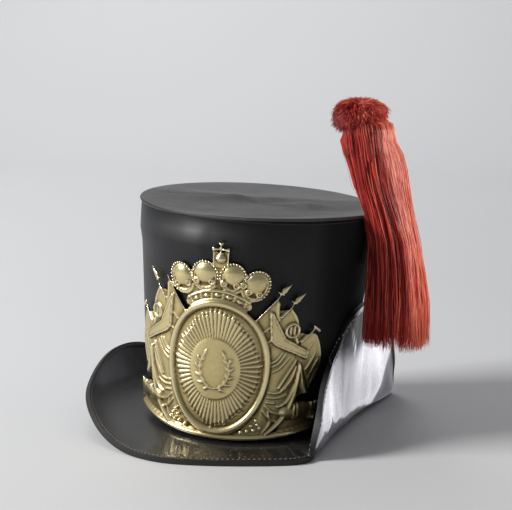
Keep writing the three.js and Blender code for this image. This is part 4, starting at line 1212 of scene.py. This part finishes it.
def fall_middles(core, low, high):
    """Rows of how far down the fall, and the fall's middle there (x, y)."""
    spots = np.array([tuple(v.co) for v in core.data.vertices])
    table = []
    for drop in np.linspace(0, HAIR_SQUARE, 12):
        level = high - drop * (high - low)
        near = spots[np.abs(spots[:, 2] - level) < HAIR_SLICE]
        table.append((drop, *((near.min(axis=0) + near.max(axis=0)) / 2)[:2]))
    return np.array(table)


def plume_hair():
    """The fall: strands gathered in locks that follow the CAD body's outline."""
    rng = np.random.default_rng(11)
    low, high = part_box("plume_hair")
    head_low, head_high = (Vector(corner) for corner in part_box("plume_head"))
    head = (head_low + head_high) / 2
    head_half = (head_high - head_low) / 2
    core = hair_core("plume_hair", "plume_inner_hair", 2)
    shell = tree_of_piece(core)
    table = fall_middles(core, low[2], high[2])
    lock_angle = rng.uniform(0, 2 * math.pi, HAIR_LOCKS)
    lock_share = np.sqrt(rng.uniform(0.35, 1, HAIR_LOCKS))
    lock_tone = rng.choice((-0.3, -0.05, 0.08, 0.2), HAIR_LOCKS)
    lock_length = rng.uniform(0.965, 1.0, HAIR_LOCKS)
    owner = rng.integers(0, HAIR_LOCKS, HAIR_STRANDS)
    points = len(HAIR_DROPS) + 2
    paths = np.zeros((HAIR_STRANDS, points, 3))
    shades = np.zeros(HAIR_STRANDS)
    for s in range(HAIR_STRANDS):
        lock = owner[s]
        spread, push = rng.normal(0, 1, 2)
        wave = rng.uniform(0, 2 * math.pi)
        length = lock_length[lock] * rng.uniform(0.965, 1.0)
        for p, drop in enumerate(HAIR_DROPS):
            drop *= length
            shaped = min(drop, HAIR_SQUARE)
            gather = 1 - 0.4 * drop
            turn = lock_angle[lock] + 0.2 * spread * gather + 0.05 * math.sin(wave + 7 * drop)
            share = min(1.0, max(0.05, lock_share[lock] + 0.12 * push * gather))
            out = level_direction(turn)
            across, along = (np.interp(shaped, table[:, 0], table[:, k]) for k in (1, 2))
            centre = Vector((across, along, high[2] - shaped * (high[2] - low[2])))
            radius = reach_to(shell, centre, out, 0.02) + fuller(drop, out)
            frizz = Vector(rng.normal(0, 0.55, 3)) * MM * min(1, 0.25 + drop)
            paths[s, p + 2] = centre + out * radius * share + frizz
            paths[s, p + 2, 2] = high[2] - drop * (high[2] - low[2])
        lock_out = level_direction(lock_angle[lock] + 0.2 * spread)
        rooted = head + Vector((lock_out.x * head_half.x, lock_out.y * head_half.y, -head_half.z * 0.4)) * 0.5
        paths[s, 0] = rooted
        paths[s, 1] = rooted.lerp(Vector(paths[s, 2]), 0.9)
        paths[s, 1, 2] = paths[s, 2, 2] + 5.5 * MM
        # Painted light from the side, plus a random tone per lock and per strand.
        shades[s] = hair_shade(lock_out) + lock_tone[lock] + rng.normal(0, 0.17)
    taper = np.interp(np.linspace(0, 1, points), (0, 0.1, 0.75, 0.93, 1), (0.6, 1, 1, 0.7, 0.2))
    radii = rng.uniform(0.24, 0.48, HAIR_STRANDS)[:, None] * taper[None, :] * MM
    strands_piece("plume_strands", paths, radii, shades)
    shrink_core(core, 4 * MM, 12 * MM)
    stray_hairs(paths, rng)


def fuller(drop, out):
    """How much further out than the CAD body the hair stands: below the head and at its lower end."""
    inner = max(0.0, -out.dot(PLUME_OUTER))
    outer = max(0.0, out.dot(PLUME_OUTER))
    top = eased(1 - drop / 0.16) * (0.9 * inner - 2.0 * outer)
    return (0.2 - 1.2 * inner * eased(drop / 0.2) + top + 3.2 * eased((drop - 0.5) / 0.45)) * MM


def hair_shade(out):
    # Painted light: lighter on the side away from the crown, where the plume is lit, and a little darker
    # about its middle.
    side = out.dot(PLUME_OUTER)
    return 0.36 + 0.6 * eased(side / 0.8) - 0.1 * hump(side + 0.1, 0.35)


def stray_hairs(paths, rng):
    """Single hairs that have come away from the plume and bow out of it."""
    chosen = paths[rng.integers(0, len(paths), STRAY_HAIRS)]
    spread = chosen - chosen.mean(axis=0)
    spread[:, :, 2] = 0
    spread /= np.linalg.norm(spread, axis=2, keepdims=True) + 1e-9
    bow = np.sin(np.linspace(0, 1, chosen.shape[1]) * math.pi * 0.8)[None, :, None]
    reach = rng.uniform(0.8, 4.5, STRAY_HAIRS)[:, None, None] * MM
    radii = np.full(chosen.shape[:2], 0.11 * MM)
    strands_piece("stray_hairs", chosen + spread * bow * reach, radii, rng.uniform(0.3, 1, STRAY_HAIRS))


def plume_head():
    """Short hair, brushed out and down over the plume's head."""
    rng = np.random.default_rng(7)
    low, high = (Vector(corner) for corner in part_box("plume_head"))
    centre = (low + high) / 2
    half = (high - low) / 2
    core = hair_core("plume_head", "plume_inner_head", 2)
    shell = tree_of_piece(core)
    paths = np.zeros((TUFT_STRANDS, TUFT_POINTS, 3))
    shades = np.zeros(TUFT_STRANDS)
    for s in range(TUFT_STRANDS):
        out = Vector(rng.normal(0, 1, 3))
        out.z = out.z if out.z > -0.9 else -out.z
        out.normalize()
        shifts = (Vector((0, 0, 0)), Vector((9, 0, 0)), Vector((0, 9, 0)))
        tuft = Vector([noise(out * 3.1 + shift) for shift in shifts])
        comb = Vector((out.x, out.y, 0)) * 0.35 + Vector((0, 0, -0.45)) + tuft * 0.5
        length = rng.uniform(0.3, 0.8)
        fluff = rng.normal(0, 1)
        for p in range(TUFT_POINTS):
            way = p / (TUFT_POINTS - 1)
            lean = (out + comb * (way - 0.6) * length).normalized()
            lean = Vector((lean.x * half.x, lean.y * half.y, lean.z * half.z)).normalized()
            radius = reach_to(shell, centre, lean, half.x)
            rise = 0.74 + (0.27 + 0.06 * fluff) * way + 0.06 * tuft.z
            paths[s, p] = centre + lean * radius * rise + Vector(rng.normal(0, 0.7, 3)) * MM * way
            paths[s, p, 2] -= 2.6 * MM * (1 - out.z) * way**2
        # Painted light: lighter on top and on the side away from the crown; the tuft and random terms are the
        # hair's own tone.
        shades[s] = 0.42 + 0.1 * out.z + 0.25 * out.x + 0.35 * tuft.x + rng.normal(0, 0.15)
    taper = np.array([0.8, 1, 0.8, 0.15])
    radii = rng.uniform(0.26, 0.46, TUFT_STRANDS)[:, None] * taper[None, :] * MM
    strands_piece("plume_tuft", paths, radii, shades)
    shrink_core(core, 2.5 * MM, 0)


def plume_stem():
    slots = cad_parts["plume_stem"].data.materials
    slots.clear()
    slots.append(IRON)


# Studio

BLUISH = (0.94, 0.93, 1)
WARM = (1, 0.95, 0.9)
BRIM_PIECES = ("brim_leather", "brim_edging", "binding_stitches")
HAIR_PIECES = ("plume_strands", "plume_tuft", "stray_hairs", "plume_inner_hair", "plume_inner_head")


def studio():
    bpy.ops.mesh.primitive_plane_add(size=6, location=(0, 0.6, 0))
    floor = named("floor", PALE_FLOOR)
    bpy.ops.object.mode_set(mode="EDIT")
    bpy.ops.mesh.select_all(action="DESELECT")
    bpy.ops.object.mode_set(mode="OBJECT")
    for edge in floor.data.edges:
        ends = [floor.matrix_world @ floor.data.vertices[i].co for i in edge.vertices]
        edge.select = all(end.y > 3 for end in ends)
    bpy.ops.object.mode_set(mode="EDIT")
    bpy.ops.mesh.select_mode(type="EDGE")
    bpy.ops.mesh.extrude_region_move(TRANSFORM_OT_translate={"value": (0, 0, 4)})
    bpy.ops.object.mode_set(mode="OBJECT")
    apply_modifier(floor, "BEVEL", width=1.6, segments=24, limit_method="ANGLE")
    bpy.ops.object.shade_smooth()


def area_light(name, place, aim, size, power, tint=(1, 1, 1), spread=180, only=()):
    """A soft lamp, or one that lights only some pieces."""
    data = bpy.data.lights.new(name, "AREA")
    data.shape = "RECTANGLE"
    data.size, data.size_y = size
    data.energy = power
    data.color = tint
    data.spread = math.radians(spread)
    lamp = bpy.data.objects.new(name, data)
    bpy.context.scene.collection.objects.link(lamp)
    lamp.location = place
    lamp.visible_camera = False
    if only:
        lit = bpy.data.collections.new(name)
        for piece in only:
            lit.objects.link(bpy.data.objects[piece])
        lamp.light_linking.receiver_collection = lit
    lamp.rotation_euler = (Vector(aim) - Vector(place)).to_track_quat("-Z", "Y").to_euler()


def lights():
    world = bpy.data.worlds.new("soft_grey")
    world.use_nodes = True
    sky = world.node_tree.nodes["Background"].inputs
    sky["Color"].default_value = color(0.8, 0.82, 0.86)
    sky["Strength"].default_value = 0.26
    bpy.context.scene.world = world
    area_light("key", (-2.25, -1.15, 1.55), (0, 0, 0.1), (1.0, 1.0), 90)
    area_light("backdrop_wash", (-1.2, 1.9, 2.4), (-0.6, 3.0, 0.3), (2.0, 1.2), 26)
    area_light("flap_card", (0.21, 0.3, 0.11), (0.1, 0, 0.07), (0.22, 0.2), 0.22, BLUISH, 50, BRIM_PIECES)
    area_light(
        "flap_floor_card", (0.21, 0.12, 0.003), (0.21, 0.12, 1), (0.24, 0.56), 0.7, BLUISH, only=BRIM_PIECES
    )
    area_light("plume_lamp", (1.1, 0.3, 0.45), (0.14, 0, 0.18), (0.3, 0.3), 11, WARM, only=HAIR_PIECES)
    area_light(
        "crown_card", (-0.66, -0.75, 0.08), (-0.03, -0.1, 0.16), (0.6, 0.12), 1.0, only=("crown_side",)
    )


def camera():
    across = Vector((math.cos(CAMERA_AZIMUTH), math.sin(CAMERA_AZIMUTH), 0))
    foot = Vector((CROWN_FOOT.x, CROWN_FOOT.y, 0))
    place = foot + Vector((
        math.sin(CAMERA_AZIMUTH) * CAMERA_REACH,
        -math.cos(CAMERA_AZIMUTH) * CAMERA_REACH,
        CAMERA_HEIGHT,
    ))
    aim = foot + across * AIM_SIDE + Vector((0, 0, AIM_HEIGHT))
    data = bpy.data.cameras.new("camera")
    data.lens = CAMERA_LENS
    data.sensor_width = SENSOR_WIDTH
    eye = bpy.data.objects.new("camera", data)
    bpy.context.scene.collection.objects.link(eye)
    eye.location = place
    eye.rotation_euler = (aim - place).to_track_quat("-Z", "Y").to_euler()
    bpy.context.scene.camera = eye


crown_wall()
crown_tip()
rim_seam()
brim()
brim_binding()
front_plate()
plume_stem()
plume_hair()
plume_head()
studio()
lights()
camera()
bpy.context.scene.view_settings.view_transform = "Standard"
